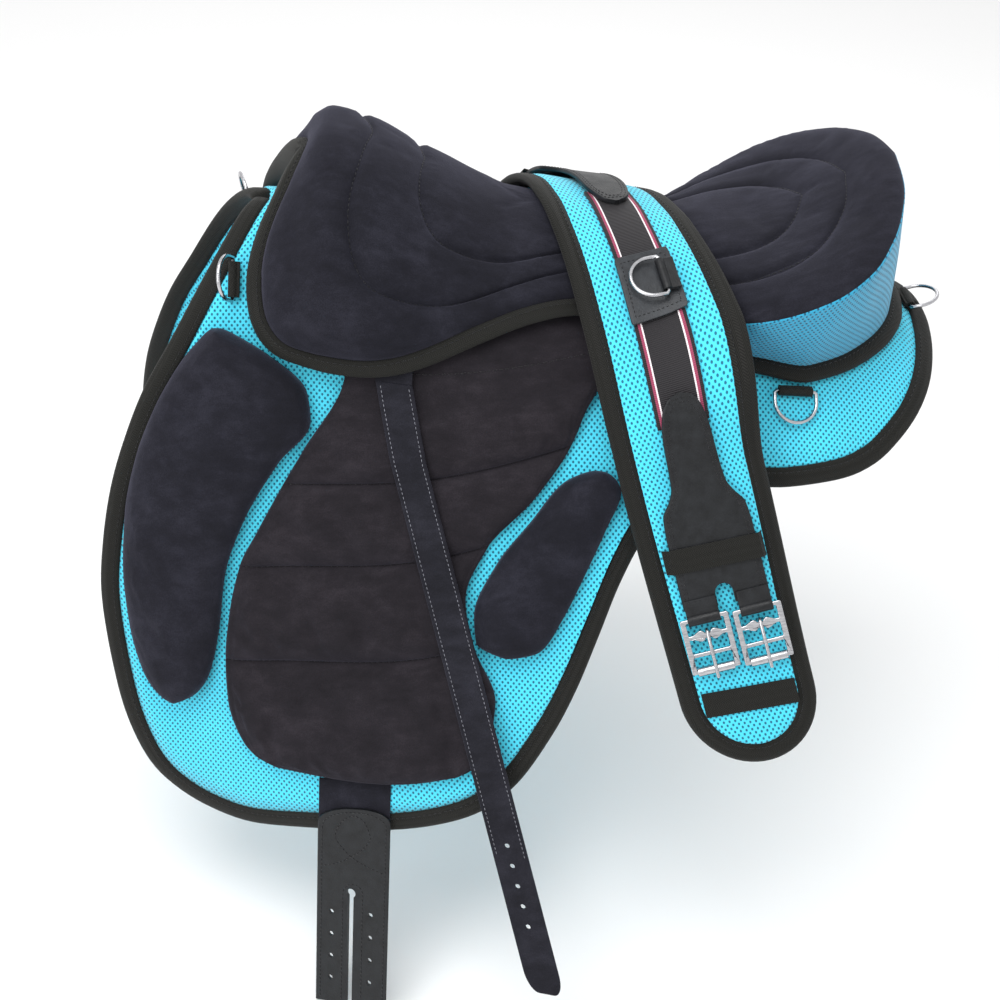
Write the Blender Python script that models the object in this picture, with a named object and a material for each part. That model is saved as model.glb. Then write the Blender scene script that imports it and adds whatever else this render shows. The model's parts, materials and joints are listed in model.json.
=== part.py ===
"""A treeless riding saddle: foam panels under air mesh, a quilted suede seat, flap pads and blocks,
stirrup leathers, billets, dees, and its girth laid across the seat.

The saddle's own frame: +X to the cantle, -Y to the near (left) side, +Z up. Nearly every layer lies
on one curved surface, the outer face of the foam panels. A point on it is given by x along the
saddle, v down the side from the ridge (negative on the off side) and h out from the face.
"""

import math

import bmesh
import bpy
import numpy as np
from mathutils import Matrix, Vector

MM = 0.001
NEAR = 1
OFF = -1

# Panels
PANEL_THICK = 12 * MM
PANEL_EDGE_THICK = 7 * MM
PANEL_BINDING_WIDTH = 14 * MM
PANEL_BINDING_THICK = 9 * MM
UNDER_PANEL_THICK = 26 * MM
UNDER_PANEL_FRONT = -165 * MM
UNDER_PANEL_BACK = 300 * MM
UNDER_PANEL_IN = 26 * MM
UNDER_PANEL_OUT = np.array([85, 128, 150, 150, 142, 120, 75]) * MM
GAP = 0.4 * MM
FACET_GAP = 1.2 * MM
RISER_GAP = 2.0 * MM
SEWN_GAP = 0.5 * MM
SPINE_HALF_GAP = 1.0 * MM
SPINE_WEB_WIDTH = 36 * MM
SPINE_WEB_THICK = 2 * MM
SPINE_WEB_FRONT = -170 * MM
SPINE_WEB_BACK = 318 * MM

# Seat
SEAT_EDGE_UNDER = 13 * MM
SEAT_POCKET = 17 * MM
SEAT_POCKET_REACH = 72 * MM
SEAT_PAD_THICK = 26 * MM
SEAT_RIM_THICK = 5 * MM
SEAT_BINDING_WIDTH = 11 * MM
CHANNEL_DEPTH = 4 * MM
CHANNEL_WIDTH = 9 * MM
OUTER_CHANNEL = 0.70
INNER_CHANNEL = 0.45
SPINE_START = 3 * MM
SPINE_END = 169 * MM
RISER_START = 130 * MM
RISER_CLIMB_FROM = 105 * MM
RISER_CLIMB_LENGTH = 45 * MM
PAD_POCKET_FRONT = -165 * MM
PAD_POCKET_BACK = 105 * MM
PAD_POCKET_FADE = 30 * MM
RIM_ON_PANEL = 3 * MM
RIM_BLEND = 40 * MM
FRONT_RIM_END = 100 * MM
SEAT_ON_PANEL = 4 * MM
BINDING_RISE = 9 * MM
UNDER_RIDGE = 30 * MM

# Flap pad and blocks
PAD_THICK = 11 * MM
PAD_EDGE_THICK = 4.7 * MM
KNEE_BLOCK_THICK = 24 * MM
THIGH_BLOCK_THICK = 19 * MM

# Stirrup leather and its hanger
LEATHER_WIDTH = 27 * MM
LEATHER_THICK = 3.6 * MM
LEATHER_TOP = 143 * MM
LEATHER_END = 600 * MM
HOLE_DIAMETER = 4.5 * MM
HOLE_PITCH = 15.5 * MM
HOLE_START = 51 * MM
LEATHER_TIP = 16 * MM
LEATHER_TRAIL_FROM = 142 * MM
LEATHER_TRAIL_MORE = 200 * MM
LEATHER_TRAIL = 0.21
LEATHER_TRAIL_EXTRA = 0.08
HOLE_COUNT = 5
HANGER_X = -86 * MM
HANGER_V = 105 * MM
HANGER_BAR = 4 * MM
HANGER_PLATE_THICK = 2 * MM
LEATHER_CLEAR = 0.8 * MM

# Billets
BILLET_WIDTH = 58 * MM
BILLET_THICK = 3.4 * MM
BILLET_TOP = 488 * MM
BILLET_TIP = 662 * MM
BILLET_SLOT = 5 * MM
BILLET_SLOT_ROUND = 8 * MM
BILLET_SLOT_TOP = 562 * MM
BILLET_HOLES = 4
BILLET_HOLE_START = 22 * MM
BILLET_HOLE_PITCH = 20 * MM
BILLET_X = -109 * MM
WEB_TOP = 471 * MM
WEB_END = 531 * MM
WEB_THICK = 1.8 * MM

# Dees and tabs
DEE_WIDTH = 32 * MM
DEE_WIRE = 3 * MM
DEE_DEPTH = 24 * MM
TAB_WIDTH = 26 * MM
TAB_THICK = 1.6 * MM
BORE_CLEAR = 0.4 * MM
FRONT_DEE_X = -205 * MM
FRONT_DEE_V = 79 * MM
REAR_DEE_X = 213 * MM
REAR_DEE_V = 121.5 * MM
CENTRE_DEE_X = 323.5 * MM
CUTTER_DEPTH = 30 * MM

# Girth
GIRTH_HALF_LENGTH = 338 * MM
GIRTH_TAPER_FROM_END = 218 * MM
GIRTH_TAPER_LENGTH = 200 * MM
GIRTH_WIDTH = 108 * MM
GIRTH_THICK = 12 * MM
GIRTH_BINDING_WIDTH = 14 * MM
GIRTH_X = 98 * MM
GIRTH_V = 74 * MM
GIRTH_TURN = 16.7
GIRTH_ROUND = 52 * MM
GIRTH_CLEAR = 3.4 * MM
GIRTH_REST = 2 * MM
GIRTH_FALL_NEAR = 300 * MM
GIRTH_FALL_OFF = 170 * MM
GIRTH_BEND = 0.15
GIRTH_LEVEL_X = 105 * MM
GIRTH_CLIMB_FALL = 80 * MM
LAYER_GAP = 1.0 * MM
LEATHER_GAP = 1.0 * MM
ELASTIC_WIDTH = 38 * MM
ELASTIC_THICK = 2.1 * MM
GIRTH_LEATHER_THICK = 3.4 * MM
BUCKLE_FROM_END = 114 * MM
UPPER_KEEPER_FROM_END = 158 * MM
LOWER_KEEPER_FROM_END = 49 * MM
BUCKLE_SPACING = 39 * MM
BUCKLE_WIDTH = 36 * MM
BUCKLE_LENGTH = 43 * MM
BUCKLE_BAR = 3 * MM
BUCKLE_RAIL = 4 * MM
BUCKLE_BARS = np.array([-12.5, -26, -38.5]) * MM
ROLLER_DIAMETER = 6.8 * MM
TONGUE_DIAMETER = 2.7 * MM
LOOP_WIDTH = 24 * MM
LOOP_THICK = 1.8 * MM
LOOP_TAIL = 15 * MM
PATCH_DEE_FROM_MIDDLE = 9 * MM
PATCH_SIDE = 42 * MM
PATCH_THICK = 2.4 * MM
KEEPER_WIDTH = 18 * MM
KEEPER_THICK = 1.6 * MM

# The outer face of the panels: station x, ridge height, slope beside the ridge and of the flap
# in degrees, and how far down the side the slope grows
FACE_X = np.array([-300, -180, -50, 100, 220, 340]) * MM
FACE_RIDGE = np.array([43, 43, 22, 4, -12, -30]) * MM
FACE_TOP_SLOPE = np.array([30, 24, 14, 8, 6, 6])
FACE_FLAP_SLOPE = np.array([76, 72, 66, 60, 54, 46])
FACE_TURN = np.array([130, 140, 160, 180, 180, 180]) * MM
RIDGE_ROUND = 30 * MM
FACE_STEPS = 240
FACE_LENGTH = 760 * MM


def smooth(t):
    t = np.clip(t, 0, 1)
    return t * t * (3 - 2 * t)


def bump(t):
    """A quarter circle that rises from 0 to 1 as t goes from 0 to 1, for a rolled edge."""
    t = min(max(t, 0), 1)
    return math.sqrt(1 - (1 - t) ** 2)


def between(x, xs, ys):
    """A smooth curve through the stations, with no overshoot between them."""
    xs = np.asarray(xs, float)
    ys = np.asarray(ys, float)
    slope = np.diff(ys) / np.diff(xs)
    tangent = np.zeros(len(xs))
    for i in range(1, len(xs) - 1):
        if slope[i - 1] * slope[i] > 0:
            tangent[i] = 2 * slope[i - 1] * slope[i] / (slope[i - 1] + slope[i])
    x = min(max(x, xs[0]), xs[-1])
    i = min(int(np.searchsorted(xs, x, side="right")) - 1, len(xs) - 2)
    width = xs[i + 1] - xs[i]
    t = (x - xs[i]) / width
    return float(
        ys[i] * (1 + 2 * t) * (1 - t) ** 2
        + tangent[i] * width * t * (1 - t) ** 2
        + ys[i + 1] * t * t * (3 - 2 * t)
        + tangent[i + 1] * width * t * t * (t - 1)
    )


FACE_V = np.linspace(0, FACE_LENGTH, FACE_STEPS + 1)
SECTIONS = {}


def section(x):
    """The face across the saddle at x: how far out and down it is at each v, and its slope."""
    key = round(x, 5)
    if key not in SECTIONS:
        top = math.radians(between(x, FACE_X, FACE_TOP_SLOPE))
        flap = math.radians(between(x, FACE_X, FACE_FLAP_SLOPE))
        turn = between(x, FACE_X, FACE_TURN)
        slope = top * smooth(FACE_V / RIDGE_ROUND) + (flap - top) * smooth(FACE_V / turn)
        step = FACE_V[1]
        out = np.concatenate([[0], np.cumsum((np.cos(slope[1:]) + np.cos(slope[:-1])) * step / 2)])
        down = np.concatenate([[0], np.cumsum((np.sin(slope[1:]) + np.sin(slope[:-1])) * step / 2)])
        SECTIONS[key] = (out, down, slope)
    return SECTIONS[key]


def place(x, v, h=0.0):
    out, down, slope = section(x)
    side = 1 if v < 0 else -1
    v = abs(v)
    angle = np.interp(v, FACE_V, slope)
    y = np.interp(v, FACE_V, out) + h * math.sin(angle)
    z = between(x, FACE_X, FACE_RIDGE) - np.interp(v, FACE_V, down) + h * math.cos(angle)
    return Vector((x, side * y, z))


def face_frame(x, v, h=0.0, turn=0.0, where=None):
    """Axes on the face: local +Z out of it, local +Y up the slope, turned about +Z by degrees."""
    where = where or place
    step = 1 * MM
    side = -1 if v < 0 else 1
    up = (where(x, v - side * step, h) - where(x, v + side * step, h)).normalized()
    along = (where(x + step, v, h) - where(x - step, v, h)).normalized()
    out = up.cross(along) * -side
    out.normalize()
    across = up.cross(out)
    matrix = Matrix((across, up, out)).transposed().to_4x4()
    matrix.translation = where(x, v, h)
    return matrix @ Matrix.Rotation(math.radians(turn), 4, "Z")


def path(points, count, closed=False):
    """A smooth curve through the points, read at equal steps of its length."""
    points = np.array(points, float)
    ring = list(range(len(points)))
    if closed:
        ring = [len(points) - 1, *ring, 0, 1]
    else:
        ring = [0, *ring, len(points) - 1]
    fine = []
    for a, b, c, d in zip(ring, ring[1:], ring[2:], ring[3:]):
        for k in range(12):
            t = k / 12
            fine.append(
                0.5
                * (
                    2 * points[b]
                    + (points[c] - points[a]) * t
                    + (2 * points[a] - 5 * points[b] + 4 * points[c] - points[d]) * t**2
                    + (3 * points[b] - points[a] - 3 * points[c] + points[d]) * t**3
                )
            )
    fine.append(points[0] if closed else points[-1])
    fine = np.array(fine)
    length = np.concatenate([[0], np.cumsum(np.linalg.norm(np.diff(fine[:, :2], axis=0), axis=1))])
    at = np.linspace(0, length[-1], count + 1)
    if closed:
        at = at[:-1]
    return np.stack([np.interp(at, length, fine[:, k]) for k in range(fine.shape[1])], axis=1)


def inwards(points, distance, closed=False):
    """The line beside a path of (x, v) points, to its right as it runs."""
    points = np.asarray(points, float)
    if closed:
        before = np.roll(points, 1, axis=0)
        after = np.roll(points, -1, axis=0)
    else:
        before = np.vstack([points[:1], points[:-1]])
        after = np.vstack([points[1:], points[-1:]])
    tangent = (after - before)[:, :2]
    tangent /= np.linalg.norm(tangent, axis=1)[:, None]
    moved = points.copy()
    moved[:, 0] += tangent[:, 1] * distance
    moved[:, 1] -= tangent[:, 0] * distance
    return moved


def clear_scene():
    for obj in list(bpy.data.objects):
        bpy.data.objects.remove(obj)


def new_collection(name):
    collection = bpy.data.collections.new(name)
    bpy.context.scene.collection.children.link(collection)
    return collection


clear_scene()
SADDLE = new_collection("saddle")
CUTTERS = new_collection("cutters")
CUTTERS.hide_render = True
FINISHES = {}


def finish(name, colour, roughness, metallic=0.0):
    if name not in FINISHES:
        material = bpy.data.materials.new(name)
        material.use_nodes = True
        shader = material.node_tree.nodes["Principled BSDF"]
        shader.inputs["Base Color"].default_value = (*colour, 1)
        shader.inputs["Roughness"].default_value = roughness
        shader.inputs["Metallic"].default_value = metallic
        FINISHES[name] = material
    return FINISHES[name]


def dress(obj, kind):
    """Each object gets its own copy of the finish that the real piece has."""
    looks = {
        "mesh": ((0.05, 0.62, 0.86), 0.8, 0.0),
        "suede": ((0.018, 0.018, 0.025), 0.95, 0.0),
        "webbing": ((0.016, 0.016, 0.014), 0.85, 0.0),
        "leather": ((0.012, 0.013, 0.014), 0.45, 0.0),
        "elastic": ((0.014, 0.013, 0.013), 0.8, 0.0),
        "felt": ((0.03, 0.03, 0.03), 0.9, 0.0),
        "steel": ((0.6, 0.6, 0.6), 0.25, 1.0),
    }
    obj.data.materials.append(finish(f"{obj.name} {kind}", *looks[kind]))


def add_mesh(name, bm, kind, collection=SADDLE):
    bmesh.ops.recalc_face_normals(bm, faces=bm.faces[:])
    if bm.calc_volume(signed=True) < 0:
        bmesh.ops.reverse_faces(bm, faces=bm.faces[:])
    mesh = bpy.data.meshes.new(name)
    bm.to_mesh(mesh)
    bm.free()
    mesh.shade_smooth()
    mesh.set_sharp_from_angle(angle=math.radians(50))
    obj = bpy.data.objects.new(name, mesh)
    collection.objects.link(obj)
    if kind:
        dress(obj, kind)
    return obj


def skin_pair(across, along, outer, inner):
    """A grid pushed into a closed slab: outer(a, b) shapes one face and inner(a, b) the other."""
    bm = bmesh.new()
    bmesh.ops.create_grid(bm, x_segments=len(across) - 1, y_segments=len(along) - 1, size=1)

    def param(co):
        i = round((co.x + 1) / 2 * (len(across) - 1))
        j = round((co.y + 1) / 2 * (len(along) - 1))
        return across[i], along[j]

    pushed = bmesh.ops.extrude_face_region(bm, geom=bm.faces[:])["geom"]
    back = {v for v in pushed if isinstance(v, bmesh.types.BMVert)}
    for vert in bm.verts:
        a, b = param(vert.co)
        vert.co = inner(a, b) if vert in back else outer(a, b)
    return bm


def slab(name, kind, across, along, outer, inner):
    return add_mesh(name, skin_pair(across, along, outer, inner), kind)


def joined_at_ridge(name, kind, across, along, outer, inner):
    """A near half open at the ridge, mirrored and welded into one closed body."""
    bm = skin_pair(across, along, outer, inner)
    on_ridge = [f for f in bm.faces if all(abs(v.co.y) < 1e-6 for v in f.verts)]
    bmesh.ops.delete(bm, geom=on_ridge, context="FACES")
    loose = [v for v in bm.verts if not v.link_faces]
    bmesh.ops.delete(bm, geom=loose, context="VERTS")
    bmesh.ops.mirror(bm, geom=bm.faces[:] + bm.edges[:] + bm.verts[:], axis="Y", merge_dist=1e-6)
    bmesh.ops.remove_doubles(bm, verts=bm.verts[:], dist=1e-6)
    return add_mesh(name, bm, kind)


def sweep(name, kind, rings, closed):
    """A loft through like rings of points, with flat ends where it is open."""
    bm = bmesh.new()
    rows = [[bm.verts.new(p) for p in ring] for ring in rings]
    pairs = list(zip(rows, rows[1:]))
    if closed:
        pairs.append((rows[-1], rows[0]))
    for one, two in pairs:
        for k in range(len(one)):
            n = (k + 1) % len(one)
            bm.faces.new((one[k], one[n], two[n], two[k]))
    if not closed:
        bm.faces.new(rows[0])
        bm.faces.new(rows[-1][::-1])
    return add_mesh(name, bm, kind)


def tube(name, points, diameter, closed, matrix, kind="steel", resolution=2):
    """A bent wire through local points, placed by a matrix."""
    curve = bpy.data.curves.new(name, "CURVE")
    curve.dimensions = "3D"
    curve.bevel_depth = diameter / 2
    curve.bevel_resolution = resolution
    curve.use_fill_caps = True
    spline = curve.splines.new("POLY")
    spline.points.add(len(points) - 1)
    for point, co in zip(spline.points, points):
        point.co = (*co, 1)
    spline.use_cyclic_u = closed
    obj = bpy.data.objects.new(name, curve)
    SADDLE.objects.link(obj)
    obj.matrix_world = matrix
    dress(obj, kind)
    return obj


def plate(name, kind, outlines, thick, matrix):
    """A flat outline with its holes, given half its thickness either way along local Z."""
    curve = bpy.data.curves.new(name, "CURVE")
    curve.dimensions = "2D"
    curve.fill_mode = "BOTH"
    curve.extrude = thick / 2
    for outline in outlines:
        spline = curve.splines.new("POLY")
        spline.points.add(len(outline) - 1)
        for point, (x, y) in zip(spline.points, outline):
            point.co = (x, y, 0, 1)
        spline.use_cyclic_u = True
    obj = bpy.data.objects.new(name, curve)
    SADDLE.objects.link(obj)
    obj.matrix_world = matrix
    if kind:
        dress(obj, kind)
    return obj


def arc(cx, cy, radius, start, end, count):
    angles = np.radians(np.linspace(start, end, count))
    return [(cx + radius * math.cos(a), cy + radius * math.sin(a)) for a in angles]


def rounded_box(x0, y0, x1, y1, radius, count=3):
    return (
        arc(x1 - radius, y1 - radius, radius, 0, 90, count)
        + arc(x0 + radius, y1 - radius, radius, 90, 180, count)
        + arc(x0 + radius, y0 + radius, radius, 180, 270, count)
        + arc(x1 - radius, y0 + radius, radius, 270, 360, count)
    )


def made_mesh(obj):
    """The same object as a welded mesh, so that it can be cut or joined."""
    bpy.context.view_layer.update()
    graph = bpy.context.evaluated_depsgraph_get()
    mesh = bpy.data.meshes.new_from_object(obj.evaluated_get(graph))
    bm = bmesh.new()
    bm.from_mesh(mesh)
    bmesh.ops.remove_doubles(bm, verts=bm.verts[:], dist=1e-6)
    bmesh.ops.recalc_face_normals(bm, faces=bm.faces[:])
    bm.to_mesh(mesh)
    bm.free()
    name = obj.name
    matrix = obj.matrix_world.copy()
    collection = obj.users_collection[0]
    bpy.data.objects.remove(obj)
    made = bpy.data.objects.new(name, mesh)
    collection.objects.link(made)
    made.matrix_world = matrix
    return made


def boolean(obj, other, operation):
    modifier = obj.modifiers.new(operation.lower(), "BOOLEAN")
    modifier.operation = operation
    modifier.object = other
    modifier.solver = "EXACT"
    for collection in list(other.users_collection):
        collection.objects.unlink(other)
    CUTTERS.objects.link(other)
    other.hide_render = True
    other.display_type = "WIRE"


def move_origin(obj, point):
    """The origin goes to a point on the piece's joint axis, with the shape left where it is."""
    obj.data.transform(Matrix.Translation(-Vector(point)))
    obj.location = point


def side_name(side):
    return "near" if side == NEAR else "off"


# The panels' outer edge in millimetres (x, v), from the front of the ridge round to its back
PANEL_EDGE = [
    (-196, 1), (-204, 22), (-219, 57), (-235, 90), (-253, 125), (-274, 163), (-290, 203),
    (-302, 243), (-310, 289), (-313, 335), (-307, 394), (-297, 444), (-280, 484), (-257, 507),
    (-227, 521), (-190, 527), (-145, 521), (-77, 501), (-18, 476), (15, 446), (41, 403),
    (58, 365), (73, 322), (88, 278), (106, 240), (130, 212), (166, 198), (210, 193),
    (251, 181), (276, 166), (294, 147), (312, 121), (325, 92), (333, 60), (337, 28), (338, 1),
]
PANEL_STATIONS = 36
# Rows of the fan: the first lie on lines at these v, and the last share out what is left
RIDGE_LINES = np.array([1, 14, 34, 56, 80, 105, 132, 162]) * MM
FLAP_ROWS = (0.36, 0.72, 1)
EDGE_TAPER = 20 * MM


def panel_edge(extra=0.0):
    line = path(np.array(PANEL_EDGE) * MM, PANEL_STATIONS)
    line = inwards(line, extra)
    line[0, 1] = max(line[0, 1], SPINE_HALF_GAP)
    line[-1, 1] = max(line[-1, 1], SPINE_HALF_GAP)
    line[:, 1] = np.maximum(line[:, 1], SPINE_HALF_GAP)
    return line


def panel_fan(a, row, edge):
    """A point of the panel: a runs round the edge, and the rows run from the ridge to the edge."""
    rim = edge[round(a * (len(edge) - 1))]
    spine_x = edge[0, 0] + (edge[-1, 0] - edge[0, 0]) * a
    lines = len(RIDGE_LINES)
    last = min(RIDGE_LINES[-1], rim[1] * lines / (lines + len(FLAP_ROWS)))
    if row < lines:
        v = min(RIDGE_LINES[row], SPINE_HALF_GAP + (last - SPINE_HALF_GAP) * row / (lines - 1))
        if last == RIDGE_LINES[-1]:
            v = RIDGE_LINES[row]
    else:
        v = last + (rim[1] - last) * FLAP_ROWS[row - lines]
    v = max(v, SPINE_HALF_GAP)
    share = (v - SPINE_HALF_GAP) / max(rim[1] - SPINE_HALF_GAP, 1 * MM)
    if rim[1] <= SPINE_HALF_GAP + 1 * MM:
        share = row / (lines + len(FLAP_ROWS) - 1)
    return spine_x + (rim[0] - spine_x) * share, v, rim


def base_panel(side):
    edge = panel_edge(PANEL_BINDING_WIDTH + GAP)
    across = [k / PANEL_STATIONS for k in range(PANEL_STATIONS + 1)]
    rows = range(len(RIDGE_LINES) + len(FLAP_ROWS))
    taper = (PANEL_THICK - PANEL_EDGE_THICK) / 2

    def edge_share(rim, x, v):
        return smooth(math.dist(rim[:2], (x, v)) / EDGE_TAPER)

    def outer(a, b):
        x, v, rim = panel_fan(a, b, edge)
        return place(x, side * v, -taper * (1 - edge_share(rim, x, v)))

    def inner(a, b):
        x, v, rim = panel_fan(a, b, edge)
        return place(x, side * v, -PANEL_THICK + taper * (1 - edge_share(rim, x, v)))

    return slab(f"{side_name(side)}_base_panel", "mesh", across, rows, outer, inner)


def edge_roll(name, kind, line, side, width, low, high, closed, inner_gap=GAP, where=None):
    """Webbing folded round an edge: a strip whose outer side is round, beside a path of (x, v)."""
    where = where or place
    middle = (low + high) / 2
    profile = (
        (width - inner_gap, low),
        (0.30 * width, low),
        (0.02 * width, middle - 0.3 * (high - low)),
        (0.02 * width, middle + 0.3 * (high - low)),
        (0.30 * width, high),
        (width - inner_gap, high),
    )
    rings = []
    lines = [inwards(line, depth, closed) for depth, _ in profile]
    for k in range(len(line)):
        ring = []
        for moved, (_, h) in zip(lines, profile):
            v = moved[k, 1]
            if not closed:
                v = max(v, SPINE_HALF_GAP / 2)
            ring.append(where(moved[k, 0], side * v, h))
        rings.append(ring)
    return sweep(name, kind, rings, closed)


def panel_binding(side):
    line = panel_edge()
    centre = -PANEL_THICK / 2
    return edge_roll(
        f"{side_name(side)}_panel_binding", "webbing", line, side, PANEL_BINDING_WIDTH,
        centre - PANEL_BINDING_THICK / 2, centre + PANEL_BINDING_THICK / 2, False,
    )


def under_panel(side):
    """The bearing panel: a long foam cushion beside the spine channel, tapered at both ends."""
    stations = [0, 0.03, 0.09, 0.18, 0.28, 0.38, 0.48, 0.58, 0.68, 0.78, 0.87, 0.94, 0.98, 1]
    rows = [0, 0.08, 0.25, 0.45, 0.65, 0.82, 0.94, 1]
    top = -PANEL_THICK - FACET_GAP

    def ground(a, b):
        outer_v = between(a, np.linspace(0, 1, len(UNDER_PANEL_OUT)), UNDER_PANEL_OUT)
        x = UNDER_PANEL_FRONT + (UNDER_PANEL_BACK - UNDER_PANEL_FRONT) * a
        return x, UNDER_PANEL_IN + (outer_v - UNDER_PANEL_IN) * b

    def outer(a, b):
        x, v = ground(a, b)
        return place(x, side * v, top)

    def inner(a, b):
        x, v = ground(a, b)
        round_off = bump(min(a, 1 - a) / 0.12) * bump(min(b, 1 - b) / 0.25)
        return place(x, side * v, top - UNDER_PANEL_THICK * (0.35 + 0.65 * round_off))

    return slab(f"{side_name(side)}_under_panel", "felt", stations, rows, outer, inner)


def spine_webbing():
    rows = [k / 14 for k in range(15)]
    top = -PANEL_THICK - FACET_GAP
    length = SPINE_WEB_BACK - SPINE_WEB_FRONT

    def outer(a, b):
        return place(SPINE_WEB_FRONT + length * b, (a - 0.5) * SPINE_WEB_WIDTH, top)

    def inner(a, b):
        return place(SPINE_WEB_FRONT + length * b, (a - 0.5) * SPINE_WEB_WIDTH, top - SPINE_WEB_THICK)

    return slab("spine_webbing", "webbing", [0, 0.25, 0.5, 0.75, 1], rows, outer, inner)


# The seat's outer edge in millimetres (x, v, h of its top), from the pommel round to the cantle
SEAT_EDGE = [
    (-162, 0, 46), (-176, 23, 36), (-190, 54, 24), (-195, 83, 18), (-190, 112, 18),
    (-174, 132, 18), (-149, 140, 18), (-117, 142, 18), (-89, 138, 18), (-61, 128, 18),
    (-22, 110, 18), (15, 95, 18), (50, 87, 18), (100, 87, 20), (130, 91, 31), (150, 95, 45),
    (170, 99, 61), (190, 100, 76), (210, 98, 89), (230, 93, 99), (250, 83, 107), (262, 72, 111),
    (274, 56, 115), (284, 32, 119), (289, 0, 122),
]
SEAT_STATIONS = 26
SEAT_ROWS = (0, 0.22, 0.40, INNER_CHANNEL, 0.50, 0.60, 0.66, OUTER_CHANNEL, 0.75, 0.88, 0.96, 1)
# Height of the seat over the panels along the ridge
SEAT_RIDGE_X = np.array([-195, -176, -158, -150, -136, -109, -77, -51, -24, 0, 60, 110, 140, 158,
                         181, 200, 219, 235, 250, 268, 289]) * MM
SEAT_RIDGE = np.array([24, 34, 46, 55, 64, 62, 53, 45, 35, 29, 25, 27, 34, 40,
                       47, 55, 67, 80, 92, 110, 122]) * MM
# Where the mesh gusset meets the panels behind the seat (x, v)
GUSSET_FOOT = [(120, 92), (150, 108), (190, 113), (215, 115), (232, 111), (261, 96), (290, 70),
               (309, 38), (317, 0)]


def seat_edge(extra=0.0):
    line = path(np.array(SEAT_EDGE) * MM, SEAT_STATIONS)
    moved = inwards(line, extra)
    moved[0, 1] = 0
    moved[-1, 1] = 0
    keep = smooth((line[:, 0] - RISER_CLIMB_FROM) / RIM_BLEND)[:, None]
    return moved * (1 - keep) + line * keep


def seat_height(x, v, edge):
    lower = edge[3:]
    edge_v = np.interp(x, lower[:, 0], lower[:, 1])
    edge_h = np.interp(x, lower[:, 0], lower[:, 2])
    ratio = min(abs(v) / max(edge_v, 1 * MM), 1)
    return between(x, SEAT_RIDGE_X, SEAT_RIDGE) * (1 - ratio**2) + edge_h * ratio**2


def channel(distance):
    return CHANNEL_DEPTH * math.exp(-((distance / (CHANNEL_WIDTH / 2)) ** 2))


def seat_fan(a, b, edge):
    rim = edge[round(a * (len(edge) - 1))]
    spine_x = SPINE_START + (SPINE_END - SPINE_START) * a
    x = spine_x + (rim[0] - spine_x) * b
    v = rim[1] * b
    return x, v, rim, math.dist(rim[:2], (spine_x, 0))


def seat_top(a, b, edge):
    x, v, rim, reach = seat_fan(a, b, edge)
    h = seat_height(x, v, edge)
    h -= channel((b - OUTER_CHANNEL) * reach) + channel((b - INNER_CHANNEL) * reach)
    h += 2 * MM * smooth((1 - b) * reach / (20 * MM))
    h -= 4 * MM * (1 - bump((1 - b) * reach / (9 * MM)))
    return x, v, h


def riser_share(x):
    """0 on the front of the seat, which lies on the panels, and 1 where the riser carries it."""
    return float(smooth((x - RISER_CLIMB_FROM) / RISER_CLIMB_LENGTH))


def over_pad_share(x):
    """1 where the seat's edge lies over the flap pad, and 0 before and behind it."""
    front = smooth((x - PAD_POCKET_FRONT) / PAD_POCKET_FADE)
    return float(front * smooth((PAD_POCKET_BACK - x) / PAD_POCKET_FADE))


def seat_under(a, b, edge):
    x, v, rim, reach = seat_fan(a, b, edge)
    from_edge = (1 - b) * reach
    pocket = SEAT_POCKET * smooth((from_edge - 2 * MM) / (14 * MM))
    lifted = SEAT_EDGE_UNDER + (pocket - SEAT_EDGE_UNDER) * smooth((from_edge - 2 * MM) / (14 * MM))
    front = FACET_GAP + (lifted - FACET_GAP) * smooth((SEAT_POCKET_REACH - from_edge) / (12 * MM))
    on_pad = over_pad_share(x)
    front = (FACET_GAP + SEAT_ON_PANEL) * (1 - on_pad) + front * on_pad
    if v < UNDER_RIDGE:
        front = min(front, FACET_GAP + SEAT_ON_PANEL)
    spine_x = SPINE_START + (SPINE_END - SPINE_START) * a
    spine_h = max(seat_height(spine_x, 0, edge) - SEAT_PAD_THICK, FACET_GAP)
    rim_h = seat_height(rim[0], rim[1], edge) - SEAT_RIM_THICK
    rear = spine_h + (rim_h - spine_h) * b
    share = riser_share(x)
    return x, v, front * (1 - share) + rear * share


def seat_cushion():
    edge = seat_edge(SEAT_BINDING_WIDTH + GAP)
    stations = [k / SEAT_STATIONS for k in range(SEAT_STATIONS + 1)]
    return joined_at_ridge(
        "seat_cushion", "suede", stations, SEAT_ROWS,
        lambda a, b: place(*seat_top(a, b, edge)),
        lambda a, b: place(*seat_under(a, b, edge)),
    )


def gusset_foot():
    return path(np.array([(*p, 0) for p in GUSSET_FOOT]) * MM, 16)


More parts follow.
